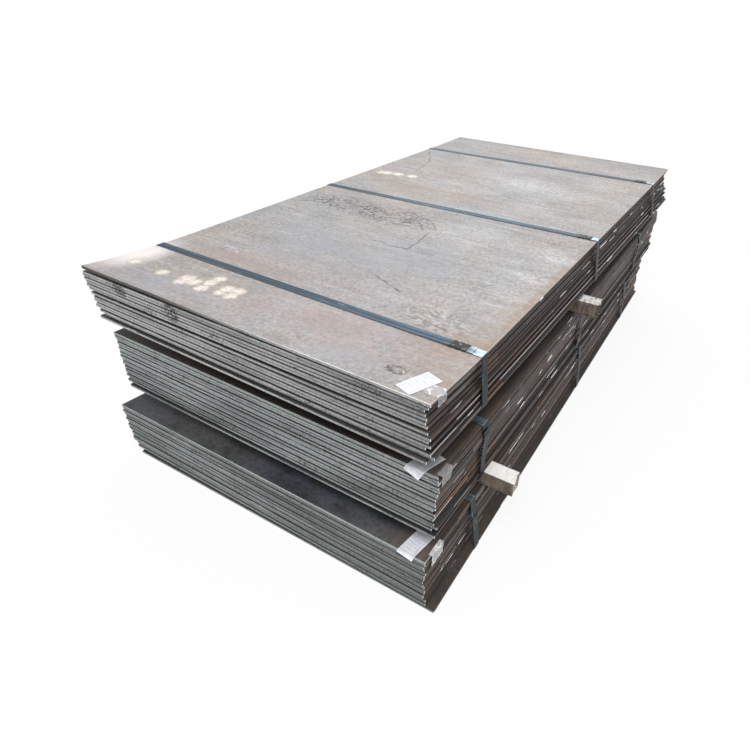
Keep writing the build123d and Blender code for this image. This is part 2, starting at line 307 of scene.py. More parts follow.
@dataclass(frozen=True)
class TopMarks:
    """What handling, water and rust have left on the uppermost plate, and a painted sheen.

    Places are in mm from the plate's front left corner.
    """

    corner: tuple[float, float, float]
    blue_scale: tuple[Spot, ...] = (
        Spot(600, 620, 520, 330), Spot(300, 60, 330, 90), Spot(1010, 60, 160, 70)
    )
    pink_rust: tuple[Spot, ...] = (Spot(820, 170, 480, 190), Spot(330, 330, 300, 110))
    tan_rust: tuple[Spot, ...] = (Spot(1215, 330, 95, 360), Spot(420, 1400, 600, 120))
    red_rust: tuple[Spot, ...] = (
        Spot(1205, 170, 110, 190), Spot(1240, 700, 22, 900), Spot(1120, 260, 160, 120)
    )
    torn_scale: tuple[Spot, ...] = (Spot(1055, 350, 180, 100), Spot(227, 392, 80, 40))
    # Painted sheen: a near-white spot by the front left corner, where the plate shines.
    sheen: tuple[Spot, ...] = (Spot(10, 190, 130, 210),)
    smears: tuple[Spot, ...] = (
        Spot(1175, 985, 120, 70), Spot(1180, 777, 100, 60), Spot(800, 1750, 420, 170)
    )
    crust: Spot = Spot(1108, 76, 36, 26)
    curls: tuple[Spot, ...] = (Spot(215, 1020, 250, 130), Spot(500, 1015, 240, 130))
    stains: tuple[tuple[float, float, float], ...] = (
        (78, 132, 26),
        (215, 124, 26),
        (310, 139, 32),
        (346, 132, 32),
        (401, 117, 28),
        (388, 161, 28),
        (386, 197, 26),
        (462, 161, 28),
        (505, 130, 26),
        (464, 131, 26),
        (498, 165, 30),
        (316, 111, 26),
        (102, 1542, 36),
        (160, 1552, 32),
        (235, 1563, 32),
        (69, 1535, 28),
    )
    scratches: tuple[tuple[tuple[float, float], ...], ...] = (
        ((498, 755), (721, 743), (700, 935)),
        ((44, 2059), (150, 1880), (199, 1655)),
        ((756, 502), (886, 451)),
        ((709, 1546), (850, 1500), (974, 1493)),
        ((62, 938), (149, 1048), (304, 1035), (444, 978), (573, 999), (710, 976)),
        ((540, 1090), (640, 1040), (710, 976)),
        ((480, 985), (590, 1030), (660, 950)),
        ((505, 930), (620, 965), (710, 976)),
    )

    PINK = "#aa958e"
    RED = "#8f6e58"
    TAN = "#a69584"
    BLUE = "#989ba4"
    PALE = "#e2dfdc"
    PAINTED_SHEEN = "#f6f1ef"
    DARK = "#4d4743"
    LINE = "#2e2a28"
    CREAM = "#e3ddd3"
    RING = "#b3a28c"
    GLOW = "#f6f2ec"
    DIRT = "#45423f"
    LIME = "#dddbd8"

    # How far out each kind of spot is full, as a share of its half widths.
    MARK_CORE = 0.25
    SHEEN_CORE = 0.15
    CRUST_CORE = 0.6
    CURL_CORE = 0.4

    # A stain fades out past its radius. Its rim, core and glow start and are full at these depths.
    STAIN_WAVES = 60.0
    STAIN_FADE = 1.2
    RIM_DEPTH = (0.02, 0.16)
    CORE_DEPTH = (0.18, 0.5)
    GLOW_DEPTH = (0.35, 0.8)

    # Three sets of curls, each a shift of the noise and a strength. Their lines end and are full
    # this far from the noise's middle.
    CURL_SETS = ((0.0, 0.8), (4.7, 0.7), (9.1, 0.7))
    CURL_WAVES = 13.0
    CURL_TWIST = 2.4
    CURL_EDGE = (0.03, 0.0105)

    # A wire's scratch is under 1 mm wide; it is drawn 3 to 7 mm wide so that it shows.
    SCRATCH_WAVES = 22.0
    SCRATCH_EDGE = (3.6 * MM, 1.3 * MM)

    def marked(self, tree: Tree, colour: Socket, place: Socket) -> Socket:
        """Lay all the marks over the face.

        Args:
            tree: the material's node tree.
            colour: the face's colour so far.
            place: coordinates in metres.

        Returns:
            The colour with the marks on it.
        """
        local = add_node(
            tree, "VectorMath", {0: place, 1: self.corner}, operation="SUBTRACT"
        ).outputs[0]
        ragged = patches(
            tree, local, (160, 100, 1000), cover=0.45, soft=0.35, detail=8.0, rough=0.72, seed=14.0
        )
        broken = patches(
            tree, local, (16, 10, 1000), cover=0.5, soft=0.2, detail=5.0, rough=0.75, seed=15.0
        )
        flaked = patches(
            tree, local, (20, 12, 1000), cover=0.52, soft=0.12, detail=4.0, rough=0.75, seed=45.0
        )
        for spots, mask, strength, shade in (
            (self.blue_scale, ragged, 0.6, self.BLUE),
            (self.pink_rust, ragged, 0.5, self.PINK),
            (self.tan_rust, ragged, 0.4, self.TAN),
            (self.red_rust, ragged, 0.45, self.RED),
            (self.torn_scale, broken, 0.6, self.DARK),
            (self.torn_scale, flaked, 0.4, self.PALE),
            (self.smears, broken, 0.4, self.PALE),
        ):
            for spot in spots:
                colour = coated(
                    tree,
                    colour,
                    (joined(tree, oval(tree, local, spot, self.MARK_CORE), mask), strength, shade),
                )
        # Painted sheen: lightens the face by its front left corner.
        for spot in self.sheen:
            colour = coated(
                tree, colour, (oval(tree, local, spot, self.SHEEN_CORE), 0.9, self.PAINTED_SHEEN)
            )
        colour = self.crusted(tree, colour, local)
        colour = self.stained(tree, colour, local)
        return self.scratched(tree, colour, local)

    def crusted(self, tree: Tree, colour: Socket, local: Socket) -> Socket:
        """Add the small crust of dried dirt near the label.

        Args:
            tree: the material's node tree.
            colour: the face's colour so far.
            local: coordinates from the plate's front left corner.

        Returns:
            The colour with the crust on it.
        """
        crust = oval(tree, local, self.crust, self.CRUST_CORE)
        lumps = patches(
            tree, local, (11, 10, 1000), cover=0.6, soft=0.1, detail=3.0, rough=0.6, seed=17.0
        )
        ragged = patches(
            tree, local, (30, 20, 1000), cover=0.42, soft=0.2, detail=4.0, rough=0.7, seed=18.0
        )
        dirt = joined(tree, crust, ragged)
        return coated(
            tree, colour, (dirt, 0.85, self.DIRT), (joined(tree, dirt, lumps), 0.9, self.LIME)
        )

    def stained(self, tree: Tree, colour: Socket, local: Socket) -> Socket:
        """Lay the round lime stains over the face: cream inside, with a thin brown rim.

        Args:
            tree: the material's node tree.
            colour: the face's colour so far.
            local: coordinates from the plate's front left corner.

        Returns:
            The colour with the stains on it.
        """
        flat = wavering(tree, local, waves=self.STAIN_WAVES, detail=3.0, reach=20 * MM)
        insides = []
        for x, y, radius in self.stains:
            centre = (x * MM, y * MM, 0.0)
            away = add_node(tree, "VectorMath", {0: flat, 1: centre}, operation="DISTANCE")
            reach = radius * self.STAIN_FADE * MM
            inside = add_node(
                tree,
                "MapRange",
                {"Value": away.outputs["Value"], "From Min": reach, "From Max": 0.0},
            )
            insides.append(inside.outputs["Result"])
        depth = joined(tree, *insides, how="MAXIMUM")
        rim, core, glow = (
            add_node(
                tree, "MapRange", {"Value": depth, "From Min": start, "From Max": full}
            ).outputs["Result"]
            for start, full in (self.RIM_DEPTH, self.CORE_DEPTH, self.GLOW_DEPTH)
        )
        mottled = patches(
            tree, local, (24, 16, 1000), cover=0.4, soft=0.4, detail=5.0, rough=0.6, seed=2.2
        )
        spotty = patches(
            tree, local, (12, 9, 1000), cover=0.5, soft=0.2, detail=4.0, rough=0.6, seed=12.2
        )
        return coated(
            tree,
            colour,
            (joined(tree, rim, mottled), 0.45, self.RING),
            (joined(tree, core, mottled), 0.75, self.CREAM),
            (joined(tree, glow, spotty), 0.7, self.GLOW),
        )

    def scratched(self, tree: Tree, colour: Socket, local: Socket) -> Socket:
        """Draw the thin dark curls and scratches that dragged wire and slings have left.

        Args:
            tree: the material's node tree.
            colour: the face's colour so far.
            local: coordinates from the plate's front left corner.

        Returns:
            The colour with the lines on it.
        """
        for seed, strength in self.CURL_SETS:
            shifted = add_node(
                tree, "Mapping", {"Vector": local, "Location": (seed, seed, 0.0)}
            ).outputs[0]
            curls = add_node(
                tree,
                "TexNoise",
                {
                    "Vector": shifted,
                    "Scale": self.CURL_WAVES,
                    "Detail": 2.0,
                    "Roughness": 0.5,
                    "Distortion": self.CURL_TWIST,
                },
            ).outputs["Fac"]
            line = contour(tree, curls, *self.CURL_EDGE)
            broken = patches(
                tree,
                local,
                (90, 60, 1000),
                cover=0.47,
                soft=0.12,
                detail=3.0,
                rough=0.5,
                seed=9.4 + seed,
            )
            for spot in self.curls:
                mask = joined(tree, line, broken, oval(tree, local, spot, self.CURL_CORE))
                colour = coated(tree, colour, (mask, strength, self.LINE))
        flat = wavering(tree, local, waves=self.SCRATCH_WAVES, detail=2.0, reach=30 * MM)
        stretches = [pair for scratch in self.scratches for pair in zip(scratch, scratch[1:])]
        gaps = [self.beside(tree, flat, start, end) for start, end in stretches]
        start, full = self.SCRATCH_EDGE
        line = add_node(
            tree,
            "MapRange",
            {"Value": joined(tree, *gaps, how="MINIMUM"), "From Min": start, "From Max": full},
        ).outputs["Result"]
        worn = patches(
            tree, local, (90, 60, 1000), cover=0.42, soft=0.25, detail=4.0, rough=0.6, seed=21.0
        )
        return coated(tree, colour, (joined(tree, line, worn), 0.75, self.LINE))

    def beside(
        self,
        tree: Tree,
        flat: Socket,
        start: tuple[float, float],
        end: tuple[float, float],
    ) -> Socket:
        """Distance from a straight stretch of a scratch.

        Args:
            tree: the material's node tree.
            flat: coordinates on the plate in metres.
            start: one end of the stretch, in mm.
            end: its other end.

        Returns:
            The distance in metres.
        """
        first = Vector((start[0], start[1], 0.0)) * MM
        run = Vector((end[0], end[1], 0.0)) * MM - first
        offset = add_node(tree, "VectorMath", {0: flat, 1: first}, operation="SUBTRACT").outputs[0]
        share = add_node(
            tree, "VectorMath", {0: offset, 1: run / run.length_squared}, operation="DOT_PRODUCT"
        ).outputs["Value"]
        share = add_node(
            tree, "Math", {0: share, 1: 1.0}, operation="MULTIPLY", use_clamp=True
        ).outputs[0]
        along = add_node(tree, "VectorMath", {0: run, "Scale": share}, operation="SCALE").outputs[0]
        return add_node(
            tree, "VectorMath", {0: offset, 1: along}, operation="DISTANCE"
        ).outputs["Value"]


@dataclass(frozen=True)
class HotRolledPlate:
    """Mild steel plate, hot-rolled and sheared, under mill scale with light rust.

    Mill scale is a thin oxide skin: matt, mottled warm and bluish grey, bare steel only where it
    has rubbed off. The sheared ends are cleaner and greyer; the long edges have rusted brown in
    bands, each plate a little differently.
    """

    name: str
    face_warm: str
    face_cool: str
    face_dark: str
    face_pale: str
    end_grey: str
    end_pale: str
    # Colour of the ends' upper arris over rubbed patches: wear with a painted highlight where pale,
    # painted shade for the gaps between plates where dark.
    lip_wear_and_painted_light: str
    side_lip: str | None = None
    ledge: str | None = None
    edge_at: tuple[float, float] = (0.0, 0.0)
    dark_left: float = 0.0
    # Painted shade: how much the ends darken towards the right.
    dark_right: float = 0.0
    scabs: tuple[Spot, ...] = ()
    blotched: float = 0.4
    sheen: float = 0.5
    marks: TopMarks | None = None

    SIDE_SHADES = (
        (0.0, "#1f1a17"),
        (0.16, "#3f3630"),
        (0.3, "#2a2420"),
        (0.42, "#4b3f36"),
        (0.52, "#241f1b"),
        (0.64, "#4a4039"),
        (0.76, "#302823"),
        (0.88, "#544a42"),
    )
    ARRIS_SHADES = (
        (0.0, "#191513"),
        (0.34, "#6d4b35"),
        (0.44, "#1e1916"),
        (0.58, "#94623a"),
        (0.66, "#2a2420"),
        (0.8, "#857c74"),
        (0.92, "#c4bfba"),
    )
    # A surface is a long edge, a broad face, an arris or a corner when its normal leans this far.
    SIDE_LEAN = 0.5
    FACE_LEAN = 0.93
    ARRIS_LEAN = 0.3
    CORNER_LEAN = 0.4

    # Places across the plate, in metres, where its ends start to darken and are darkest.
    LEFT_FADE = (0.25, -0.35)
    RIGHT_FADE = (0.0, 0.6)

    # Places across the plate, in metres, between which its side dashes go from dull to bright.
    GLINT_FADE = (-0.1, 0.1)

    # Each plate's number is spread by these, to shuffle its shades and shift its dashes.
    ARRIS_SHUFFLE = 7.3
    DASH_SHIFT = 60.0

    # Strengths: of the painted glints on the left and right sides, of the lip's wear and painted
    # light, of bare steel.
    LEFT_GLINT, RIGHT_GLINT = 0.25, 0.95
    LIP_STRENGTH = 0.95
    BARE_SHARE = 0.2

    # Roughness where the scale is dull and where it is rubbed, and the pits in a metre.
    DULL_SCALE, RUBBED_SCALE = 0.68, 0.5
    PITS = 160.0

    # How far out a scab of rust is full, as a share of its half widths.
    SCAB_CORE = 0.5

    END_DARK = "#393634"
    SIDE_DARK = "#1a1613"
    SIDE_RUST = "#7d4f2e"
    WEAR_AND_HIGHLIGHT = "#e9eaea"
    GLINT = WHITE
    SHADOW = "#0c0b0a"

    def material(self) -> Material:
        """Build the whole finish: broad faces, sheared ends, rusted long edges and worn arrises
        with painted light.
        """
        material, tree, shader = new_material(self.name)
        place = add_node(tree, "TexCoord").outputs["Object"]
        geometry = add_node(tree, "NewGeometry")
        facing = add_node(tree, "SeparateXYZ", {"Vector": geometry.outputs["True Normal"]}).outputs
        plate = geometry.outputs["Random Per Island"]
        across = add_node(tree, "Math", {0: facing["X"]}, operation="ABSOLUTE").outputs[0]
        on_side = add_node(
            tree, "Math", {0: across, 1: self.SIDE_LEAN}, operation="GREATER_THAN"
        ).outputs[0]
        broad = add_node(tree, "Math", {0: facing["Z"]}, operation="ABSOLUTE").outputs[0]
        on_face = add_node(
            tree, "Math", {0: broad, 1: self.FACE_LEAN}, operation="GREATER_THAN"
        ).outputs[0]
        ends, sides = self.end_colour(tree, place, plate), self.side_colour(tree, place, plate)
        edges = coated(tree, ends, (on_side, 1.0, sides))
        edges = self.arrises(tree, edges, facing, place, plate, on_side)
        skin = coated(tree, edges, (on_face, 1.0, self.face_colour(tree, place)))
        tree.links.new(skin, shader.inputs["Base Color"])
        shader.inputs["Specular IOR Level"].default_value = self.sheen
        self.surface(tree, shader, place, on_face)
        return material

    def face_colour(self, tree: Tree, place: Socket) -> Socket:
        """Colour of the broad face.

        Args:
            tree: the material's node tree.
            place: coordinates in metres.

        Returns:
            The colour socket.
        """
        cool = patches(
            tree, place, (400, 500, 1000), cover=0.5, soft=0.2, detail=6.0, rough=0.6, seed=3.1
        )
        # Scale that has lifted leaves darker, ragged blotches 110 to 140 mm across.
        blotches = patches(
            tree, place, (140, 110, 1000), cover=0.56, soft=0.24, detail=9.0, rough=0.75, seed=7.7
        )
        # Rolling and handling leave faint streaks across the plate, 14 mm wide and 400 mm long.
        streaks = patches(
            tree, place, (400, 14, 1000), cover=0.55, soft=0.3, detail=4.0, rough=0.65, seed=1.3
        )
        smears = patches(
            tree, place, (200, 30, 1000), cover=0.58, soft=0.2, detail=6.0, rough=0.7, seed=12.3
        )
        # The scale's own grains are under 1 mm and wouldn't show; they are drawn 11 to 15 mm wide.
        pale_grain = patches(
            tree, place, (12, 11, 1000), cover=0.54, soft=0.22, detail=4.0, rough=0.75, seed=5.2
        )
        dark_grain = patches(
            tree, place, (12, 15, 1000), cover=0.56, soft=0.2, detail=4.0, rough=0.75, seed=25.2
        )
        colour = coated(
            tree,
            self.face_warm,
            (cool, 1.0, self.face_cool),
            (blotches, self.blotched, self.face_dark),
            (streaks, 0.16, self.face_dark),
            (smears, 0.35, self.face_pale),
            (pale_grain, 0.4, self.face_pale),
            (dark_grain, 0.38, self.face_dark),
        )
        if self.ledge:
            # The ledge that stands out on the right has rusted like the long edges under it.
            spot = add_node(tree, "SeparateXYZ", {"Vector": place}).outputs["X"]
            start, full = self.edge_at
            beside = add_node(
                tree, "MapRange", {"Value": spot, "From Min": start, "From Max": full}
            ).outputs["Result"]
            lines = patches(
                tree, place, (12, 600, 1000), cover=0.52, soft=0.2, detail=3.0, rough=0.6, seed=31.0
            )
            colour = coated(
                tree,
                colour,
                (beside, 0.95, self.ledge),
                (joined(tree, beside, lines), 0.45, self.SIDE_DARK),
            )
        return self.marks.marked(tree, colour, place) if self.marks else colour

    def end_colour(self, tree: Tree, place: Socket, plate: Socket) -> Socket:
        """Colour of the sheared front and rear ends.

        Args:
            tree: the material's node tree.
            place: coordinates in metres.
            plate: a number that differs from plate to plate.

        Returns:
            The colour socket.
        """
        # Shearing leaves upright ticks about 1 mm wide; drawn 4 to 5 mm wide so that they show.
        ticks = patches(
            tree, place, (4.5, 1000, 12), cover=0.55, soft=0.14, detail=2.0, rough=0.6, seed=4.4
        )
        specks = patches(
            tree, place, (7, 1000, 5), cover=0.55, soft=0.08, detail=3.0, rough=0.7, seed=14.4
        )
        scabs = patches(
            tree, place, (90, 1000, 50), cover=0.56, soft=0.1, detail=5.0, rough=0.7, seed=24.4
        )
        runs = patches(
            tree, place, (300, 1000, 50), cover=0.5, soft=0.4, detail=3.0, rough=0.5, seed=8.2
        )
        pale = add_node(tree, "Math", {0: plate, 1: 0.6}, operation="MULTIPLY").outputs[0]
        pale = add_node(
            tree, "Math", {0: pale, 1: runs}, operation="ADD", use_clamp=True
        ).outputs[0]
        across = add_node(tree, "SeparateXYZ", {"Vector": place}).outputs["X"]
        start, full = self.RIGHT_FADE
        rightward = add_node(
            tree, "MapRange", {"Value": across, "From Min": start, "From Max": full}
        ).outputs["Result"]
        colour = coated(
            tree,
            self.end_grey,
            (pale, 1.0, self.end_pale),
            (self.leftward(tree, across), self.dark_left, self.END_DARK),
            # Painted shade towards the right.
            (rightward, self.dark_right, self.END_DARK),
            (ticks, 0.26, self.SIDE_DARK),
            (joined(tree, scabs, specks), 0.8, self.SIDE_DARK),
        )
        if not self.scabs:
            return colour
        # Two patches of pitted rust, each across several plates.
        parts = add_node(tree, "SeparateXYZ", {"Vector": place}).outputs
        upright = add_node(tree, "CombineXYZ", {"X": parts["X"], "Y": parts["Z"]}).outputs[0]
        dots = patches(
            tree, place, (7, 1000, 7), cover=0.46, soft=0.1, detail=2.0, rough=0.6, seed=34.4
        )
        in_front = add_node(tree, "Math", {0: parts["Y"], 1: 0.0}, operation="LESS_THAN").outputs[0]
        for spot in self.scabs:
            pitted = joined(tree, dots, oval(tree, upright, spot, self.SCAB_CORE), in_front)
            colour = coated(tree, colour, (pitted, 0.85, self.SIDE_DARK))
        return colour

    def leftward(self, tree: Tree, across: Socket) -> Socket:
        """Mask that grows from the middle of the plate's front end to its left corner.

        Args:
            tree: the material's node tree.
            across: how far across the plate a point is, in metres.

        Returns:
            The mask.
        """
        start, full = self.LEFT_FADE
        return add_node(
            tree, "MapRange", {"Value": across, "From Min": start, "From Max": full}
        ).outputs["Result"]

    def banded(self, tree: Tree, plate: Socket, spread: float, shades: tuple) -> Socket:
        """Pick one of some shades for each plate.

        Args:
            tree: the material's node tree.
            plate: a number that differs from plate to plate.
            spread: factor that shuffles it, so that two sets of shades don't go together.
            shades: where each shade starts between 0 and 1, and the shade.

        Returns:
            The colour socket.
        """
        shuffled = add_node(tree, "Math", {0: plate, 1: spread}, operation="MULTIPLY").outputs[0]
        shuffled = add_node(tree, "Math", {0: shuffled}, operation="FRACT").outputs[0]
        bands = add_node(tree, "ValToRGB", {"Fac": shuffled})
        bands.color_ramp.interpolation = "CONSTANT"
        stops = bands.color_ramp.elements
        stops[0].color = linear(shades[0][1])
        stops[1].position, stops[1].color = shades[-1][0], linear(shades[-1][1])
        for at, shade in shades[1:-1]:
            stops.new(at).color = linear(shade)
        return bands.outputs["Color"]

    def side_colour(self, tree: Tree, place: Socket, plate: Socket) -> Socket:
        """Colour of the long edges, rusted in bands that change from plate to plate, with painted
        glints.

        Args:
            tree: the material's node tree.
            place: coordinates in metres.
            plate: a number that differs from plate to plate.

        Returns:
            The colour socket.
        """
        runs = patches(
            tree, place, (1000, 350, 20), cover=0.52, soft=0.25, detail=5.0, rough=0.6, seed=6.1
        )
        rust = patches(
            tree, place, (1000, 220, 6), cover=0.58, soft=0.12, detail=5.0, rough=0.6, seed=2.9
        )
        # Painted glints: bright white dashes 30 to 100 mm long, in other places on each plate.
        apart = add_node(tree, "Math", {0: plate, 1: self.DASH_SHIFT}, operation="MULTIPLY")
        shift = add_node(tree, "CombineXYZ", {"X": apart.outputs[0]}).outputs[0]
        own = add_node(tree, "VectorMath", {0: place, 1: shift}, operation="ADD").outputs[0]
        dashes = patches(
            tree, own, (1000, 120, 50), cover=0.735, soft=0.01, detail=0.0, rough=0.5, seed=3.7
        )
        region = patches(
            tree, place, (1000, 900, 160), cover=0.49, soft=0.08, detail=1.0, rough=0.5, seed=13.7
        )
        # The right side is as pictured; the left side is a guess, and its dashes are duller.
        across = add_node(tree, "SeparateXYZ", {"Vector": place}).outputs["X"]
        start, full = self.GLINT_FADE
        glint_strength = add_node(
            tree,
            "MapRange",
            {
                "Value": across,
                "From Min": start,
                "From Max": full,
                "To Min": self.LEFT_GLINT,
                "To Max": self.RIGHT_GLINT,
            },
        ).outputs["Result"]
        return coated(
            tree,
            self.banded(tree, plate, 1.0, self.SIDE_SHADES),
            (runs, 0.5, self.SIDE_DARK),
            (rust, 0.45, self.SIDE_RUST),
            (joined(tree, dashes, region, glint_strength), 1.0, self.GLINT),
        )

    def arrises(
        self,
        tree: Tree,
        colour: Socket,
        facing: bpy.types.bpy_prop_collection,
        place: Socket,
        plate: Socket,
        on_side: Socket,
    ) -> Socket:
        """Colour the upper arris with wear and painted light, paint wear and a highlight on the
        corners, and paint shade on the lower arris.

        Args:
            tree: the material's node tree.
            colour: the edge's colour so far.
            facing: the parts of the surface's normal.
            place: coordinates in metres.
            plate: a number that differs from plate to plate.
            on_side: 1 on the long edges, 0 on the ends.

        Returns:
            The colour with the arrises on it.
        """
        upper = add_node(
            tree, "Math", {0: facing["Z"], 1: self.ARRIS_LEAN}, operation="GREATER_THAN"
        ).outputs[0]
        lower = add_node(
            tree, "Math", {0: facing["Z"], 1: -self.ARRIS_LEAN}, operation="LESS_THAN"
        ).outputs[0]
        shade = self.side_lip or self.banded(tree, plate, self.ARRIS_SHUFFLE, self.ARRIS_SHADES)
        on_end = add_node(tree, "Math", {0: 1.0, 1: on_side}, operation="SUBTRACT").outputs[0]
        rubbed = patches(
            tree, place, (120, 120, 30), cover=0.36, soft=0.2, detail=4.0, rough=0.6, seed=1.9
        )
        along = add_node(tree, "Math", {0: facing["Y"]}, operation="ABSOLUTE").outputs[0]
        turned = add_node(
            tree, "Math", {0: along, 1: self.CORNER_LEAN}, operation="GREATER_THAN"
        ).outputs[0]
        right = add_node(
            tree, "Math", {0: facing["X"], 1: 0.0}, operation="GREATER_THAN"
        ).outputs[0]
        corner = joined(tree, turned, on_side, right)
        across = add_node(tree, "SeparateXYZ", {"Vector": place}).outputs["X"]
        dull = add_node(
            tree,
            "MapRange",
            {
                "Value": self.leftward(tree, across),
                "To Min": self.LIP_STRENGTH,
                "To Max": self.LIP_STRENGTH - self.dark_left,
            },
        )
        return coated(
            tree,
            colour,
            (joined(tree, upper, on_side), 1.0, shade),
            # Wear with a painted highlight on the top plates' end lips, painted shade on the
            # others'.
            (joined(tree, upper, on_end, rubbed, dull.outputs["Result"]), 1.0, self.lip_wear_and_painted_light),
            # Wear and a painted highlight on the right-facing corners.
            (corner, 0.75, self.WEAR_AND_HIGHLIGHT),
            # Painted shade on the lower arrises, for the gap under each plate.
            (lower, 0.92, self.SHADOW),
        )

    def surface(self, tree: Tree, shader: Node, place: Socket, on_face: Socket) -> None:
        """Set how the scale shines, where bare steel shows through it and its pits.

        Args:
            tree: the material's node tree.
            shader: the surface shader.
            place: coordinates in metres.
            on_face: 1 on the broad faces, 0 on the edges.
        """
        rubbed = patches(
            tree, place, (300, 200, 200), cover=0.5, soft=0.4, detail=6.0, rough=0.65, seed=11.0
        )
        gloss = add_node(
            tree,
            "MapRange",
            {"Value": rubbed, "To Min": self.DULL_SCALE, "To Max": self.RUBBED_SCALE},
        ).outputs["Result"]
        tree.links.new(gloss, shader.inputs["Roughness"])
        bare = joined(tree, rubbed, on_face)
        bare = add_node(
            tree, "Math", {0: bare, 1: self.BARE_SHARE}, operation="MULTIPLY"
        ).outputs[0]
        tree.links.new(bare, shader.inputs["Metallic"])
        # Rust pits are under 1 mm wide; they are drawn about 6 mm wide so that they show.
        pits = add_node(
            tree,
            "TexNoise",
            {"Vector": place, "Scale": self.PITS, "Detail": 5.0, "Roughness": 0.65},
        ).outputs["Fac"]
        bump = add_node(tree, "Bump", {"Height": pits, "Strength": 0.45, "Distance": 1 * MM})
        tree.links.new(bump.outputs["Normal"], shader.inputs["Normal"])


@dataclass(frozen=True)
class BluedStrap:
    """Cold-rolled strapping steel, heat-blued: a smooth dark blue-grey skin with a low sheen.

    The stretch between the seal and the plates' edge has been rubbed bright by the tensioner.
    """

    bright_from: float
    bright_to: float
    name: str = "blued strapping steel"
    blue: str = "#4d5e6d"
    dull: str = "#33404b"
    # Painted shade: colour of the parts that face right, down the bundle's side.
    side: str = "#1b2024"
    bare: str = "#b9cbd6"

    # A face looks up or to the side when its normal leans from the first to the second of these.
    LEAN = (0.5, 0.8)
    STREAK_GLOSS, BLUE_GLOSS = 0.55, 0.42

    def material(self) -> Material:
        """Build the finish: blue skin, dull streaks, bare scuffs, a rubbed stretch and painted
        shade on the side.
        """
        material, tree, shader = new_material(self.name)
        place = add_node(tree, "TexCoord").outputs["Object"]
        spot = add_node(tree, "SeparateXYZ", {"Vector": place}).outputs
        geometry = add_node(tree, "NewGeometry")
        facing = add_node(tree, "SeparateXYZ", {"Vector": geometry.outputs["Normal"]}).outputs
        start, full = self.LEAN
        turned, upward = (
            add_node(
                tree, "MapRange", {"Value": facing[axis], "From Min": start, "From Max": full}
            ).outputs["Result"]
            for axis in "XZ"
        )
        rubbed = add_node(
            tree,
            "MapRange",
            {"Value": spot["X"], "From Min": self.bright_from, "From Max": self.bright_to},
        )
        streaks = patches(
            tree, place, (300, 7, 300), cover=0.5, soft=0.4, detail=4.0, rough=0.6, seed=2.0
        )
        scuffs = patches(
            tree, place, (60, 10, 50), cover=0.66, soft=0.1, detail=6.0, rough=0.7, seed=5.0
        )
        cloudy = patches(
            tree, place, (30, 20, 50), cover=0.4, soft=0.3, detail=4.0, rough=0.6, seed=9.0
        )
        bright = joined(tree, rubbed.outputs["Result"], upward, cloudy)
        colour = coated(
            tree,
            self.blue,
            (streaks, 0.8, self.dull),
            # Painted shade on the parts that face right.
            (turned, 0.8, self.side),
            (scuffs, 0.55, self.bare),
            (bright, 0.85, self.bare),
        )
        tree.links.new(colour, shader.inputs["Base Color"])
        shader.inputs["Metallic"].default_value = 1.0
        gloss = add_node(
            tree,
            "MapRange",
            {"Value": streaks, "To Min": self.BLUE_GLOSS, "To Max": self.STREAK_GLOSS},
        ).outputs["Result"]
        tree.links.new(gloss, shader.inputs["Roughness"])
        return material


@dataclass(frozen=True)
class CrimpedSeal:
    """Stamped seal steel under a black lacquer, rubbed to grey metal on its folds and crimps."""

    name: str = "black seal steel"
    black: str = "#0c0e0f"
    rubbed: str = "#737877"

    def material(self) -> Material:
        """Build the finish: black lacquer with rubbed grey patches."""
        material, tree, shader = new_material(self.name)
        place = add_node(tree, "TexCoord").outputs["Object"]
        worn = patches(
            tree, place, (16, 12, 8), cover=0.58, soft=0.08, detail=3.0, rough=0.6, seed=1.0
        )
        colour = coated(tree, self.black, (worn, 0.8, self.rubbed))
        tree.links.new(colour, shader.inputs["Base Color"])
        tree.links.new(worn, shader.inputs["Metallic"])
        shader.inputs["Roughness"].default_value = 0.5
        shader.inputs["Specular IOR Level"].default_value = 0.3
        return material


@dataclass(frozen=True)
class SawnTimber:
    """Rough-sawn softwood, weathered: pale and furry on top, grey-brown and stained beside."""

    name: str
    top: str
    side: str
    stain: str
    end: str
    top_dirt: float = 0.6

    # A face is the top or the end when its normal leans from the first to the second of these.
    TOP_LEAN = (0.35, 0.75)
    END_LEAN = (0.5, 0.8)

    def material(self) -> Material:
        """Build the finish: grain along the length, stains, specks and a darker sawn end."""
        material, tree, shader = new_material(self.name)
        place = add_node(tree, "TexCoord").outputs["Object"]
        geometry = add_node(tree, "NewGeometry")
        facing = add_node(tree, "SeparateXYZ", {"Vector": geometry.outputs["Normal"]}).outputs
        on_top, on_end = (
            add_node(
                tree, "MapRange", {"Value": facing[axis], "From Min": start, "From Max": full}
            ).outputs["Result"]
            for axis, (start, full) in (("Z", self.TOP_LEAN), ("X", self.END_LEAN))
        )
        # Growth lines are 3 to 5 mm apart and run the timber's length.
        grain = patches(
            tree, place, (120, 5, 5), cover=0.54, soft=0.3, detail=4.0, rough=0.65, seed=3.0
        )
        stains = patches(
            tree, place, (12, 30, 50), cover=0.52, soft=0.25, detail=5.0, rough=0.65, seed=6.0
        )
        specks = patches(
            tree, place, (12, 6, 6), cover=0.64, soft=0.05, detail=3.0, rough=0.6, seed=8.0
        )
        calm = add_node(
            tree, "MapRange", {"Value": on_top, "To Min": 1.0, "To Max": self.top_dirt}
        ).outputs["Result"]
        colour = coated(
            tree,
            self.side,
            (on_top, 1.0, self.top),
            (on_end, 1.0, self.end),
            (joined(tree, grain, calm), 0.45, self.stain),
            (joined(tree, stains, calm), 0.8, self.stain),
            (joined(tree, specks, calm), 0.9, self.stain),
        )
        tree.links.new(colour, shader.inputs["Base Color"])
        shader.inputs["Roughness"].default_value = 0.85
        bump = add_node(tree, "Bump", {"Height": grain, "Strength": 0.5, "Distance": 1 * MM})
        tree.links.new(bump.outputs["Normal"], shader.inputs["Normal"])
        return material


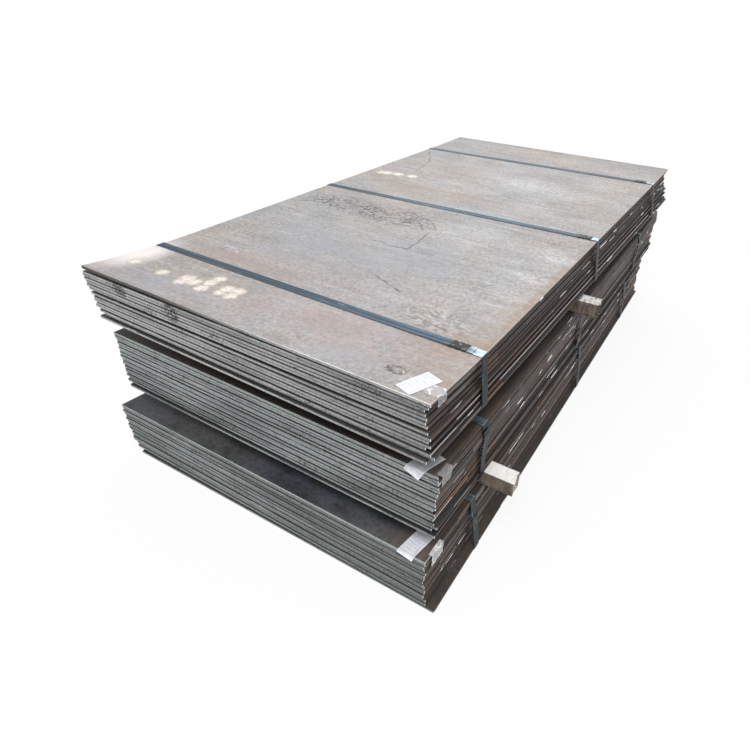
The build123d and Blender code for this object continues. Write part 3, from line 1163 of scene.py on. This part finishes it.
@dataclass(frozen=True)
class LabelPaper:
    """Coated white label paper with a faint ruled form on it, and no words."""

    name: str = "white label paper"
    paper: str = "#e3e5ea"
    rule: str = "#7f8a9c"
    rule_width: float = 0.009
    cell: tuple[float, float] = (0.435, 0.122)
    margin: tuple[float, float] = (0.09, 0.05)

    def material(self) -> Material:
        """Build the finish: white paper, thin grey rules and short grey dashes."""
        material, tree, shader = new_material(self.name)
        uv = add_node(tree, "TexCoord").outputs["UV"]
        # Printed rules are 0.3 mm wide; they are drawn 0.9 mm wide so that they show.
        form = add_node(
            tree,
            "TexBrick",
            {
                "Vector": uv,
                "Color1": linear(BLACK),
                "Color2": linear(BLACK),
                "Mortar": linear(WHITE),
                "Scale": 1.0,
                "Mortar Size": self.rule_width,
                "Mortar Smooth": 0.6,
                "Brick Width": self.cell[0],
                "Row Height": self.cell[1],
            },
            offset=0.0,
        ).outputs["Color"]
        spot = add_node(tree, "SeparateXYZ", {"Vector": uv}).outputs
        within = []
        for axis, margin in zip("XY", self.margin):
            off = add_node(
                tree, "Math", {0: spot[axis], 1: MIDDLE}, operation="SUBTRACT"
            ).outputs[0]
            off = add_node(tree, "Math", {0: off}, operation="ABSOLUTE").outputs[0]
            near = add_node(tree, "Math", {0: off, 1: MIDDLE - margin}, operation="LESS_THAN")
            within.append(near.outputs[0])
        inside = joined(tree, *within)
        dashes = patches(
            tree, uv, (200, 20, 1000), cover=0.62, soft=0.1, detail=0.0, rough=0.5, seed=4.0
        )
        creased = patches(
            tree, uv, (500, 350, 1000), cover=0.5, soft=0.3, detail=3.0, rough=0.5, seed=6.0
        )
        colour = coated(
            tree,
            self.paper,
            (joined(tree, form, inside), 0.45, self.rule),
            (joined(tree, dashes, inside), 0.22, self.rule),
            (creased, 0.15, self.rule),
        )
        tree.links.new(colour, shader.inputs["Base Color"])
        shader.inputs["Roughness"].default_value = 0.55
        return material


@dataclass(frozen=True)
class TapeFilm:
    """Polyolefin packing film, stuck down and crumpled: clear where flat, milky on its creases."""

    name: str
    milky: str
    clear_share: float

    # Creases are about 40 mm apart. Their lines end and are full this far from the noise's middle.
    CREASE_WAVES = 26.0
    CREASE_EDGE = (0.04, 0.012)

    def material(self) -> Material:
        """Build the finish: glossy film whose creases have gone white."""
        material, tree, shader = new_material(self.name)
        place = add_node(tree, "TexCoord").outputs["Object"]
        cloud = add_node(
            tree,
            "TexNoise",
            {
                "Vector": place,
                "Scale": self.CREASE_WAVES,
                "Detail": 1.0,
                "Roughness": 0.5,
                "Distortion": 1.2,
            },
        ).outputs["Fac"]
        crease = contour(tree, cloud, *self.CREASE_EDGE)
        cover = add_node(
            tree, "MapRange", {"Value": crease, "To Min": 1.0 - self.clear_share, "To Max": 0.95}
        ).outputs["Result"]
        tree.links.new(cover, shader.inputs["Alpha"])
        shader.inputs["Base Color"].default_value = linear(self.milky)
        shader.inputs["Roughness"].default_value = 0.35
        bump = add_node(tree, "Bump", {"Height": cloud, "Strength": 0.4, "Distance": 1 * MM})
        tree.links.new(bump.outputs["Normal"], shader.inputs["Normal"])
        return material


@dataclass
class Stack:
    """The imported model, and where its upper bundle's front left corner stands.

    The upper middle timber's end and front lie this far from that corner, as in the picture.
    """

    nodes: dict
    timber_end: float = 1353 * MM
    timber_front: float = 1055 * MM

    def corner(self) -> Vector:
        """Place of the upper bundle's front left corner on the ground plan."""
        low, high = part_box("upper_middle_timber")
        return Vector((high.x - self.timber_end, low.y - self.timber_front, 0.0))

    def surface(self, *names: str) -> BVHTree:
        """Search tree over the faces of some nodes.

        Args:
            names: the nodes.

        Returns:
            A tree that rays can be cast at.
        """
        points: list[Vector] = []
        faces: list[list[int]] = []
        for name in names:
            mesh = self.nodes[name].data
            start = len(points)
            points += [v.co.copy() for v in mesh.vertices]
            faces += [[start + i for i in polygon.vertices] for polygon in mesh.polygons]
        return BVHTree.FromPolygons(points, faces)

    def dress(self, name: str, material: Material, slot: str) -> None:
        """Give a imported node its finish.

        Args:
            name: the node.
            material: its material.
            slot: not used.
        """
        mesh = self.nodes[name].data
        mesh.materials.clear()
        mesh.materials.append(material)
        log.info("dressed %s in %s", name, material.name)


def add_piece(
    name: str,
    points: list[Vector],
    faces: list[tuple[int, ...]],
    material: Material,
    node: str,
) -> Object:
    """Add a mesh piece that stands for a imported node.

    Args:
        name: the piece's name.
        points: its vertices.
        faces: its faces, by vertex number.
        material: its material.
        node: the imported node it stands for.

    Returns:
        The new object.
    """
    mesh = bpy.data.meshes.new(name)
    mesh.from_pydata(points, [], faces)
    mesh.validate()
    mesh.update()
    mesh.materials.append(material)
    piece = bpy.data.objects.new(name, mesh)
    bpy.context.scene.collection.objects.link(piece)
    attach(piece, BODY)
    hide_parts(node)
    log.info("built %s with %d faces in place of %s", name, len(faces), node)
    return piece


def uneven(spot: Vector, waves: tuple[float, float, float], shift: Vector) -> float:
    """How high an uneven surface is at a point.

    Args:
        spot: the point.
        waves: about how many lumps it has in a metre along each axis.
        shift: moves the lumps, so that no two pieces have the same.

    Returns:
        The height, 0 to 1.
    """
    return noise.noise(Vector([s * w for s, w in zip(spot, waves)]) + shift) * 0.5 + 0.5


@dataclass
class PlateBundle:
    """The plates of one bundle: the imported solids, with their sheared arrises rounded off."""

    name: str
    top: HotRolledPlate
    rest: HotRolledPlate
    arris: float = 1.3 * MM
    weld_gap: float = 0.02 * MM
    flat_angle: float = math.radians(0.02)
    sharp_angle: float = math.radians(40)

    def dress(self, stack: Stack) -> None:
        """Round the arrises and give the plates their finish.

        Args:
            stack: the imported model.
        """
        for part, finish in (("bundle_top_plate", self.top), ("bundle_plates", self.rest)):
            node = f"{self.name}_{part}"
            stack.dress(node, finish.material(), "plate_steel")
            self.round_arrises(stack.nodes[node])

    def round_arrises(self, plates: Object) -> None:
        """Join each plate's faces into one skin and chamfer its sharp edges.

        Args:
            plates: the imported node's object.
        """
        weld = plates.modifiers.new("join faces", "WELD")
        weld.merge_threshold = self.weld_gap
        flat = plates.modifiers.new("merge flat faces", "DECIMATE")
        flat.decimate_type = "DISSOLVE"
        flat.angle_limit = self.flat_angle
        rounded = plates.modifiers.new("rounded arrises", "BEVEL")
        rounded.width = self.arris
        rounded.segments = 1
        rounded.limit_method = "ANGLE"
        rounded.angle_limit = self.sharp_angle


@dataclass
class Strapping:
    """The three straps of one bundle and their seals."""

    name: str
    places: tuple[str, ...] = ("front", "middle", "rear")

    def dress(self, stack: Stack, strap: Material, seal: Material) -> None:
        """Give the straps and seals their finishes.

        Args:
            stack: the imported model.
            strap: the straps' material.
            seal: the seals' material.
        """
        for place in self.places:
            stack.dress(f"{self.name}_{place}_strap", strap, "strap_steel")
            stack.dress(f"{self.name}_{place}_seal", seal, "seal_steel")


class SawnEnd(Enum):
    """How a timber's right end was left."""

    SQUARE = "square"
    SKEWED = "skewed"
    TORN = "torn"


@dataclass
class TimberSpacer:
    """A rough-sawn timber between two bundles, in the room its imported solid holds."""

    node: str
    end: SawnEnd
    seed: int
    step: float = 6 * MM
    across: int = 12
    upright: int = 11
    wane: float = 7 * MM
    wane_slope: float = 1.4
    roughness: float = 0.9 * MM
    hidden_end: float = 1.5 * MM
    end_depth: float = 9 * MM
    end_lean: float = 1.5 * MM
    fibre_depth: float = 4 * MM

    # Lumps in a metre: of the saw's marks, of the timber's bow, of a sawn end and of torn fibres.
    SAW_WAVES = (60, 40, 40)
    BOW_WAVES = (9, 12, 12)
    END_WAVES = (0, 160, 160)
    FIBRE_WAVES = (0, 300, 90)

    # Weights of the saw's marks and of the bow.
    SAW_SHARE, BOW_SHARE = 0.7, 1.1

    # A point is on a long face when it is this share of the way out from the timber's middle.
    SURFACE = 0.98

    # A torn end keeps one spike: its place and half width along Y, and the height it starts at,
    # as shares of the timber's size.
    SPIKE_AT, SPIKE_WIDTH, SPIKE_FROM = 0.25, 0.3, 0.55

    def build(self, material: Material) -> Object:
        """Build the timber's mesh.

        Args:
            material: its finish.

        Returns:
            The piece.
        """
        low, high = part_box(self.node)
        size = high - low
        counts = (max(2, round(size.x / self.step)), self.across, self.upright)
        numbers: dict[tuple[int, int, int], int] = {}
        points: list[Vector] = []
        for i in range(counts[0] + 1):
            for j in range(counts[1] + 1):
                for k in range(counts[2] + 1):
                    if i in (0, counts[0]) or j in (0, counts[1]) or k in (0, counts[2]):
                        share = (i / counts[0], j / counts[1], k / counts[2])
                        numbers[i, j, k] = len(points)
                        points.append(self.worn(share, low, size))
        faces = self.skin(counts, numbers)
        piece = add_piece(self.node + "_wood", points, faces, material, self.node)
        piece.data.shade_smooth()
        return piece

    def skin(self, counts: tuple[int, int, int], numbers: dict) -> list[tuple[int, ...]]:
        """Faces of the lattice's outside.

        Args:
            counts: steps along X, Y and Z.
            numbers: vertex number of each outside lattice point.

        Returns:
            Four-sided faces that look outwards.
        """
        faces = []
        for axis in range(3):
            first, second = [a for a in range(3) if a != axis]
            for at, flip in ((0, axis != 1), (counts[axis], axis == 1)):
                for m in range(counts[first]):
                    for n in range(counts[second]):
                        corners = []
                        for dm, dn in ((0, 0), (1, 0), (1, 1), (0, 1)):
                            spot = [0, 0, 0]
                            spot[axis], spot[first], spot[second] = at, m + dm, n + dn
                            corners.append(numbers[tuple(spot)])
                        faces.append(tuple(reversed(corners)) if flip else tuple(corners))
        return faces

    def worn(self, share: tuple[float, float, float], low: Vector, size: Vector) -> Vector:
        """Place of one outside point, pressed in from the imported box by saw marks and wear.

        Args:
            share: where the point lies in the box, 0 to 1 on each axis.
            low: the box's lowest corner.
            size: the box's size.

        Returns:
            The point.
        """
        spot = Vector([low[a] + size[a] * share[a] for a in range(3)])
        inward = Vector([0.5 - share[a] for a in range(3)])
        section = Vector((0.0, inward.y, inward.z)) * 2
        seed = Vector((self.seed * 3.1, self.seed * 1.3, self.seed * 2.7))
        saw = uneven(spot, self.SAW_WAVES, seed)
        bow = uneven(spot, self.BOW_WAVES, seed)
        depth = self.roughness * (saw * self.SAW_SHARE + bow * self.BOW_SHARE)
        spot.y += math.copysign(depth, section.y) * (abs(section.y) > self.SURFACE)
        spot.z += math.copysign(depth, section.z) * (abs(section.z) > self.SURFACE)
        spot = self.waned(spot, low)
        if share[0] == 1:
            spot.x -= self.end_loss(share, spot, seed)
        if share[0] == 0:
            spot.x += self.hidden_end * saw
        return spot

    def waned(self, spot: Vector, low: Vector) -> Vector:
        """Press the lower front corner in along the log's wane, as the solid has it.

        Args:
            spot: the point so far.
            low: the box's lowest corner.

        Returns:
            The point.
        """
        rise = self.wane_slope * self.wane
        missing = 1 - (spot.y - low.y) / self.wane - (spot.z - low.z) / rise
        if missing > 0:
            fall = missing / (1 / self.wane**2 + 1 / rise**2)
            spot.y += fall / self.wane
            spot.z += fall / rise
        return spot

    def end_loss(self, share: tuple[float, float, float], spot: Vector, seed: Vector) -> float:
        """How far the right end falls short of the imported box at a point.

        Args:
            share: where the point lies in the box.
            spot: the point.
            seed: shift of the noise.

        Returns:
            The depth in metres.
        """
        rough = uneven(spot, self.END_WAVES, seed) * MM
        if self.end is SawnEnd.SKEWED:
            return rough + self.end_depth * share[1] + self.end_lean * (1 - share[2])
        if self.end is SawnEnd.TORN:
            spike = max(0.0, 1 - abs(share[1] - self.SPIKE_AT) / self.SPIKE_WIDTH)
            spike *= max(0.0, share[2] - self.SPIKE_FROM) / (1 - self.SPIKE_FROM)
            fibres = uneven(spot, self.FIBRE_WAVES, seed)
            return rough + (1 - spike) * (self.end_depth + fibres * self.fibre_depth)
        return rough


@dataclass
class Sheet:
    """A thin sheet laid over a bundle's top edge, as a grid of points on the plates."""

    node: str
    width: float
    length: float
    columns: int
    rows: int

    def grid(self) -> list[tuple[int, ...]]:
        """Faces of the grid, row by row."""
        row = self.columns + 1
        return [
            (j * row + i, j * row + i + 1, (j + 1) * row + i + 1, (j + 1) * row + i)
            for j in range(self.rows)
            for i in range(self.columns)
        ]

    def add_map(self, piece: Object) -> None:
        """Lay a flat map over the sheet, for what is printed on it.

        Args:
            piece: the sheet's object.
        """
        layer = piece.data.uv_layers.new(name="sheet")
        row = self.columns + 1
        for loop in piece.data.loops:
            i, j = loop.vertex_index % row, loop.vertex_index // row
            layer.data[loop.index].uv = (i / self.columns, j / self.rows)

    def thicken(self, piece: Object, thickness: float) -> None:
        """Give the sheet its thickness, outwards.

        Args:
            piece: the sheet's object.
            thickness: in metres.
        """
        solid = piece.modifiers.new("thickness", "SOLIDIFY")
        solid.thickness = thickness
        solid.offset = 1.0
        piece.data.shade_smooth()


@dataclass
class PaperLabel(Sheet):
    """A paper label on a bundle's top plate, folded over its front edge where it reaches it."""

    middle: tuple[float, float] = (0.0, 0.0)
    turn: float = 0.0
    top: str = ""
    plates: str = ""
    lift: float = 0.35 * MM
    curl: float = 1.6 * MM
    droop: float = math.radians(30)
    hang: float = 32 * MM
    bend: float = 5 * MM
    thickness: float = 0.2 * MM

    # Rays that look for the plate ends under the label, and the share of its height they leave out.
    RAYS = 9
    MARGIN = 0.05

    # The label's edges curl from this share of its half widths outwards.
    CURL_FROM = 0.6
    RIPPLE_WAVES = (45, 30, 0)

    def build(self, stack: Stack, material: Material) -> Object:
        """Build the label's mesh on the plates under it.

        Args:
            stack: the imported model.
            material: its finish.

        Returns:
            The piece.
        """
        under = stack.surface(self.top)
        ends = stack.surface(self.top, self.plates)
        corner = stack.corner()
        centre = Vector((corner.x + self.middle[0] * MM, corner.y + self.middle[1] * MM, 0.0))
        turned = Euler((0.0, 0.0, math.radians(self.turn)))
        along = Vector((0.0, -1.0, 0.0))
        along.rotate(turned)
        side = Vector((1.0, 0.0, 0.0))
        side.rotate(turned)
        low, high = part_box(self.node)
        front = self.front_of(ends, centre.x, low.z, high.z)
        points = []
        for j in range(self.rows + 1):
            for i in range(self.columns + 1):
                u = (i / self.columns - MIDDLE) * self.width
                v = (j / self.rows - MIDDLE) * self.length
                points.append(self.laid(under, centre + side * u + along * v, front, (u, v)))
        piece = add_piece(
            self.node + "_paper", points, self.grid(), material, self.node
        )
        self.add_map(piece)
        self.thicken(piece, self.thickness)
        return piece

    def front_of(self, ends: BVHTree, x: float, bottom: float, top: float) -> float:
        """Foremost plate end that the label can fold over.

        Args:
            ends: search tree over the bundle.
            x: where to look across the bundle.
            bottom: lowest height to look at.
            top: highest height to look at.

        Returns:
            The place of that end along Y.
        """
        found = []
        for step in range(self.RAYS):
            share = self.MARGIN + (1 - 2 * self.MARGIN) * step / (self.RAYS - 1)
            start = Vector((x, IN_FRONT, bottom + (top - bottom) * share))
            hit = ends.ray_cast(start, Vector((0.0, 1.0, 0.0)))[0]
            if hit:
                found.append(hit.y)
        return min(found)

    def laid(
        self, under: BVHTree, spot: Vector, front: float, where: tuple[float, float]
    ) -> Vector:
        """One point of the label: on the top plate, or past its front edge and bent down.

        Args:
            under: search tree over the top plate.
            spot: the point's place on the ground plan if the label lay flat.
            front: place of the fold.
            where: distances across and along the label from its middle.

        Returns:
            The point.
        """
        fold = front - self.lift
        past = fold - spot.y
        y = max(spot.y, fold)
        above = Vector((spot.x, max(y, front + 3 * MM), SKY))
        z = under.ray_cast(above, Vector((0.0, 0.0, -1.0)))[0].z + self.lift
        edge_share = max(abs(where[0]) / (self.width / 2), abs(where[1]) / (self.length / 2))
        if past <= 0:
            ripple = uneven(spot, self.RIPPLE_WAVES, Vector((0.0, 0.0, 1.0)))
            curled = max(0.0, edge_share - self.CURL_FROM) / (1 - self.CURL_FROM)
            return Vector((spot.x, y, z + self.curl * curled * ripple))
        # Stiff paper stands out past the edge: it bends over, then runs straight down and out.
        past = min(past, self.hang)
        slope = self.droop * min(1.0, past / self.bend)
        return Vector((spot.x, fold - past * math.cos(slope), z - past * math.sin(slope)))


@dataclass
class FilmTape(Sheet):
    """A strip of film stuck to the top plate, folded over its right edge and crumpled."""

    on_top: float = 0.0
    crumple: float = 1.6 * MM
    ragged: float = 4 * MM
    top_inset: float = 0.3 * MM
    side_inset: float = 0.2 * MM
    thickness: float = 0.12 * MM
    seed: float = 0.0

    # Folds and lumps in a metre along and across the film, and notches along its torn ends.
    FOLDS = (60, 50)
    LUMPS = (150, 130)
    NOTCHES = 130

    # Weights of the folds and the lumps.
    FOLD_SHARE, LUMP_SHARE = 1.3, 0.7

    def build(self, material: Material) -> Object:
        """Build the film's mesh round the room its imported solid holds.

        Args:
            material: its finish.

        Returns:
            The piece.
        """
        low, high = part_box(self.node)
        down = self.length - self.on_top
        points = []
        for j in range(self.rows + 1):
            run = self.length * j / self.rows
            for i in range(self.columns + 1):
                y = low.y + self.width * i / self.columns
                points.append(self.crumpled(run, y, down, low, high))
        piece = add_piece(
            self.node + "_film", points, self.grid(), material, self.node
        )
        self.thicken(piece, self.thickness)
        return piece

    def crumpled(self, run: float, y: float, down: float, low: Vector, high: Vector) -> Vector:
        """One point of the film.

        Args:
            run: distance along the film from its end on the top plate.
            y: place along the bundle.
            down: length of the part that hangs down the side.
            low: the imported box's lowest corner.
            high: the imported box's highest corner.

        Returns:
            The point.
        """
        shift = Vector((self.seed, self.seed * 2, 0.0))
        fold = noise.noise(Vector((run * self.FOLDS[0], y * self.FOLDS[1], 0.3)) + shift)
        lump = noise.noise(Vector((run * self.LUMPS[0], y * self.LUMPS[1], 2.3)) + shift)
        out = self.crumple * (abs(fold) * self.FOLD_SHARE + abs(lump) * self.LUMP_SHARE)
        ragged = noise.noise(Vector((y * self.NOTCHES, 5.0, 1.0)) + shift) * self.ragged
        if run < self.on_top:
            x = high.x - self.on_top + run - ragged * (1 - run / self.on_top)
            return Vector((x, y, high.z - self.top_inset + out))
        hung = run - self.on_top
        z = high.z - hung + ragged * hung / down
        return Vector((high.x - self.side_inset + out, y, z))


@dataclass(frozen=True)
class Lamp:
    """A square soft lamp: where it hangs and its side in metres, and its power in watts."""

    name: str
    place: tuple[float, float, float]
    size: float
    power: float


@dataclass
class Studio:
    """Pale floor, soft light and the camera at the picture's own viewpoint.

    The camera's place is in mm from the upper bundle's front left corner, at floor level.
    """

    eye: tuple[float, float, float] = (1685.3, -818.7, 1403.2)
    look: tuple[float, float, float] = (52.773, -1.495, 31.878)
    lens: float = 25.99
    sensor: float = 36.0
    shift: tuple[float, float] = (-0.0478, 0.0385)
    ambient: float = 0.5
    lamps: tuple[Lamp, ...] = (
        Lamp("key light", (1.4, -3.3, 5.6), 3.6, 265.0),
        Lamp("rear fill light", (-1.3, 4.2, 4.3), 4.0, 110.0),
    )
    aim: tuple[float, float, float] = (0.0, 0.0, 0.35)
    floor_paint: str = "#f4f4f2"
    floor_reach: float = 40.0
    white_from: float = 1.0
    white_to: float = 3.2
    shadow_floor: float = 0.86

    def build(self, corner: Vector) -> None:
        """Build the studio round the stack.

        Args:
            corner: place of the upper bundle's front left corner.
        """
        self.add_camera(corner)
        self.add_floor()
        self.add_world()
        for lamp in self.lamps:
            self.add_lamp(lamp)
        bpy.context.scene.view_settings.view_transform = "Standard"

    def add_camera(self, corner: Vector) -> None:
        """Add the camera.

        Args:
            corner: place of the upper bundle's front left corner.
        """
        lens = bpy.data.cameras.new("camera")
        lens.lens = self.lens
        lens.sensor_width = self.sensor
        lens.shift_x, lens.shift_y = self.shift
        camera = bpy.data.objects.new("camera", lens)
        camera.location = corner + Vector(self.eye) * MM
        camera.rotation_euler = [math.radians(a) for a in self.look]
        bpy.context.scene.collection.objects.link(camera)
        bpy.context.scene.camera = camera

    def add_floor(self) -> None:
        """Add a pale floor that keeps the stack's shadow and shows white to the eye."""
        reach = self.floor_reach
        mesh = bpy.data.meshes.new("floor")
        corners = [(-reach, -reach, 0), (reach, -reach, 0), (reach, reach, 0), (-reach, reach, 0)]
        mesh.from_pydata(corners, [], [(0, 1, 2, 3)])
        floor = bpy.data.objects.new("floor", mesh)
        bpy.context.scene.collection.objects.link(floor)
        material, tree, shader = new_material("painted studio floor")
        shader.inputs["Base Color"].default_value = linear(self.floor_paint)
        shader.inputs["Roughness"].default_value = 0.9
        # Near the stack part of the paint shows through, which keeps the stack's soft shadow.
        place = add_node(tree, "TexCoord").outputs["Object"]
        away = add_node(tree, "VectorMath", {0: place}, operation="LENGTH").outputs["Value"]
        white = add_node(
            tree,
            "MapRange",
            {
                "Value": away,
                "From Min": self.white_from,
                "From Max": self.white_to,
                "To Min": self.shadow_floor,
                "To Max": 1.0,
            },
        ).outputs["Result"]
        share = joined(tree, self.seen_rays(tree), white)
        glow = add_node(tree, "Emission", {"Color": linear(WHITE), "Strength": 1.0})
        mixed = add_node(tree, "MixShader", {0: share, 1: shader.outputs[0], 2: glow.outputs[0]})
        tree.links.new(mixed.outputs[0], tree.nodes["Material Output"].inputs["Surface"])
        mesh.materials.append(material)

    def seen_rays(self, tree: Tree) -> Socket:
        """A mask that is 1 for rays from the camera, a reflection or through glass.

        Args:
            tree: node tree it is made in.

        Returns:
            The mask.
        """
        rays = add_node(tree, "LightPath").outputs
        seen = add_node(
            tree, "Math", {0: rays["Is Camera Ray"], 1: rays["Is Glossy Ray"]}, operation="MAXIMUM"
        ).outputs[0]
        return add_node(
            tree, "Math", {0: seen, 1: rays["Is Transmission Ray"]}, operation="MAXIMUM"
        ).outputs[0]

    def add_world(self) -> None:
        """Add the soft light from all round, which the eye sees as a white backdrop."""
        world = bpy.data.worlds.new("white studio")
        world.use_nodes = True
        tree = world.node_tree
        backdrop = tree.nodes["Background"]
        backdrop.inputs["Color"].default_value = linear(WHITE)
        strength = add_node(
            tree, "MapRange", {"Value": self.seen_rays(tree), "To Min": self.ambient, "To Max": 1.0}
        )
        tree.links.new(strength.outputs["Result"], backdrop.inputs["Strength"])
        bpy.context.scene.world = world

    def add_lamp(self, lamp: Lamp) -> None:
        """Add a square soft lamp that looks at the stack.

        Args:
            lamp: the lamp.
        """
        light = bpy.data.lights.new(lamp.name, "AREA")
        light.shape = "SQUARE"
        light.size = lamp.size
        light.energy = lamp.power
        hung = bpy.data.objects.new(lamp.name, light)
        hung.location = lamp.place
        look = Vector(self.aim) - Vector(lamp.place)
        hung.rotation_euler = look.to_track_quat("-Z", "Y").to_euler()
        bpy.context.scene.collection.objects.link(hung)


def plate_bundles(corner: Vector) -> tuple[PlateBundle, ...]:
    """Bundles of plates with their finishes, from the top one down.

    Args:
        corner: place of the upper bundle's front left corner.

    Returns:
        The bundles.
    """
    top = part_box("top_bundle_top_plate")[1].z
    upper_top = HotRolledPlate(
        name="hot-rolled plate, weathered",
        face_warm="#9f9893",
        face_cool="#9c9c9f",
        face_dark="#645e5a",
        face_pale="#ccc9c7",
        end_grey="#77787a",
        end_pale="#a9aaab",
        # Wear with a painted highlight: a near-white end lip.
        lip_wear_and_painted_light="#e6e4e2",
        side_lip="#c5bdb5",
        dark_left=0.95,
        marks=TopMarks(corner=(corner.x, corner.y, 0.0)),
    )
    upper_rest = HotRolledPlate(
        name="hot-rolled plate, sheared grey ends",
        face_warm="#2b2725",
        face_cool="#252527",
        face_dark="#171514",
        face_pale="#3b3633",
        end_grey="#7a7b7c",
        end_pale="#adaeaf",
        # Painted shade: dark end lips, for the gaps between the plates.
        lip_wear_and_painted_light="#1d1b1a",
        dark_right=0.42,
        scabs=(
            Spot(corner.x / MM + 167, top / MM - 34, 38, 34),
            Spot(corner.x / MM + 398, top / MM - 44, 36, 42),
        ),
    )
    # Its face is dark scale, darkened further as painted shade under the upper bundle's overhang.
    middle_top = HotRolledPlate(
        name="hot-rolled plate, oiled dark",
        face_warm="#37302c",
        face_cool="#262628",
        face_dark="#161413",
        face_pale="#4a3e37",
        end_grey="#656b6b",
        end_pale="#9aa09f",
        lip_wear_and_painted_light="#a4a9aa",
        ledge="#5a524b",
        edge_at=(corner.x + 1120 * MM, corner.x + 1200 * MM),
        sheen=0.25,
    )
    lower_top = replace(
        middle_top,
        name="hot-rolled plate, blue scale",
        face_warm="#525254",
        face_cool="#3c444e",
        face_dark="#121315",
        blotched=0.85,
        face_pale="#4f4844",
    )
    middle_rest = replace(
        upper_rest,
        name="hot-rolled plate, sheared grey-green ends",
        end_grey="#666c6d",
        end_pale="#9ba1a2",
        dark_right=0.1,
        scabs=(),
    )
    lower_rest = replace(
        upper_rest,
        name="hot-rolled plate, sheared dark ends",
        face_warm="#4c4540",
        face_cool="#3f3a37",
        end_grey="#5b6162",
        end_pale="#8b9293",
        scabs=(),
    )
    return (
        PlateBundle("top", upper_top, upper_rest),
        PlateBundle("middle", middle_top, middle_rest),
        PlateBundle("bottom", lower_top, lower_rest),
    )


def main() -> None:
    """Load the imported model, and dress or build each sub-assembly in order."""
    logging.basicConfig(level=logging.INFO, format="%(name)s: %(message)s")
    stack = Stack(nodes=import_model()["nodes"])
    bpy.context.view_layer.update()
    corner = stack.corner()
    Studio().build(corner)
    strap = BluedStrap(
        bright_from=corner.x + 1195 * MM, bright_to=corner.x + 1225 * MM
    ).material()
    seal = CrimpedSeal().material()
    for bundle in plate_bundles(corner):
        bundle.dress(stack)
        Strapping(bundle.name).dress(stack, strap, seal)
    bright = SawnTimber(
        name="sawn pine, bright top",
        top="#fdfbf8",
        side="#85786b",
        stain="#4e4238",
        end="#cfc6ba",
        top_dirt=0.2,
    ).material()
    torn = SawnTimber(
        name="sawn pine, torn and stained",
        top="#f1efea",
        side="#81756a",
        stain="#3d332b",
        end="#4f443b",
        top_dirt=0.75,
    ).material()
    plain = SawnTimber(
        name="sawn pine, weathered",
        top="#a6988a",
        side="#7f7265",
        stain="#4a3e34",
        end="#8d7e6f",
    ).material()
    for seed, (node, end, wood) in enumerate((
        ("lower_front_timber", SawnEnd.SKEWED, bright),
        ("lower_middle_timber", SawnEnd.SQUARE, plain),
        ("lower_rear_timber", SawnEnd.SQUARE, plain),
        ("upper_front_timber", SawnEnd.SQUARE, plain),
        ("upper_middle_timber", SawnEnd.TORN, torn),
        ("upper_rear_timber", SawnEnd.SQUARE, plain),
    )):
        TimberSpacer(node, end, seed).build(wood)
    paper = LabelPaper().material()
    # Each label's middle in mm from the upper bundle's front left corner, and its turn in degrees.
    for name, middle, turn in (
        ("top", (1184, 58), -18.6),
        ("middle", (1214, 49), -14.0),
        ("bottom", (1224, 3), -6.0),
    ):
        PaperLabel(
            node=f"{name}_label",
            width=52 * MM,
            length=100 * MM,
            columns=20,
            rows=60,
            middle=middle,
            turn=turn,
            top=f"{name}_bundle_top_plate",
            plates=f"{name}_bundle_plates",
        ).build(stack, paper)
    # Each tape's width, its lengths on top and down the side in mm, its colour and its clear share.
    for name, width, on_top, down, milky, clear in (
        ("top", 40, 40, 28, "#e6e8ea", 0.8),
        ("middle", 50, 16, 38, "#9a9a98", 0.35),
        ("bottom", 62, 12, 44, "#eceded", 0.6),
    ):
        FilmTape(
            node=f"{name}_tape",
            width=width * MM,
            length=(on_top + down) * MM,
            columns=44,
            rows=56,
            on_top=on_top * MM,
            seed=float(width),
        ).build(TapeFilm(f"packing film, {name} bundle", milky, clear).material())


if __name__ == "__main__":
    main()
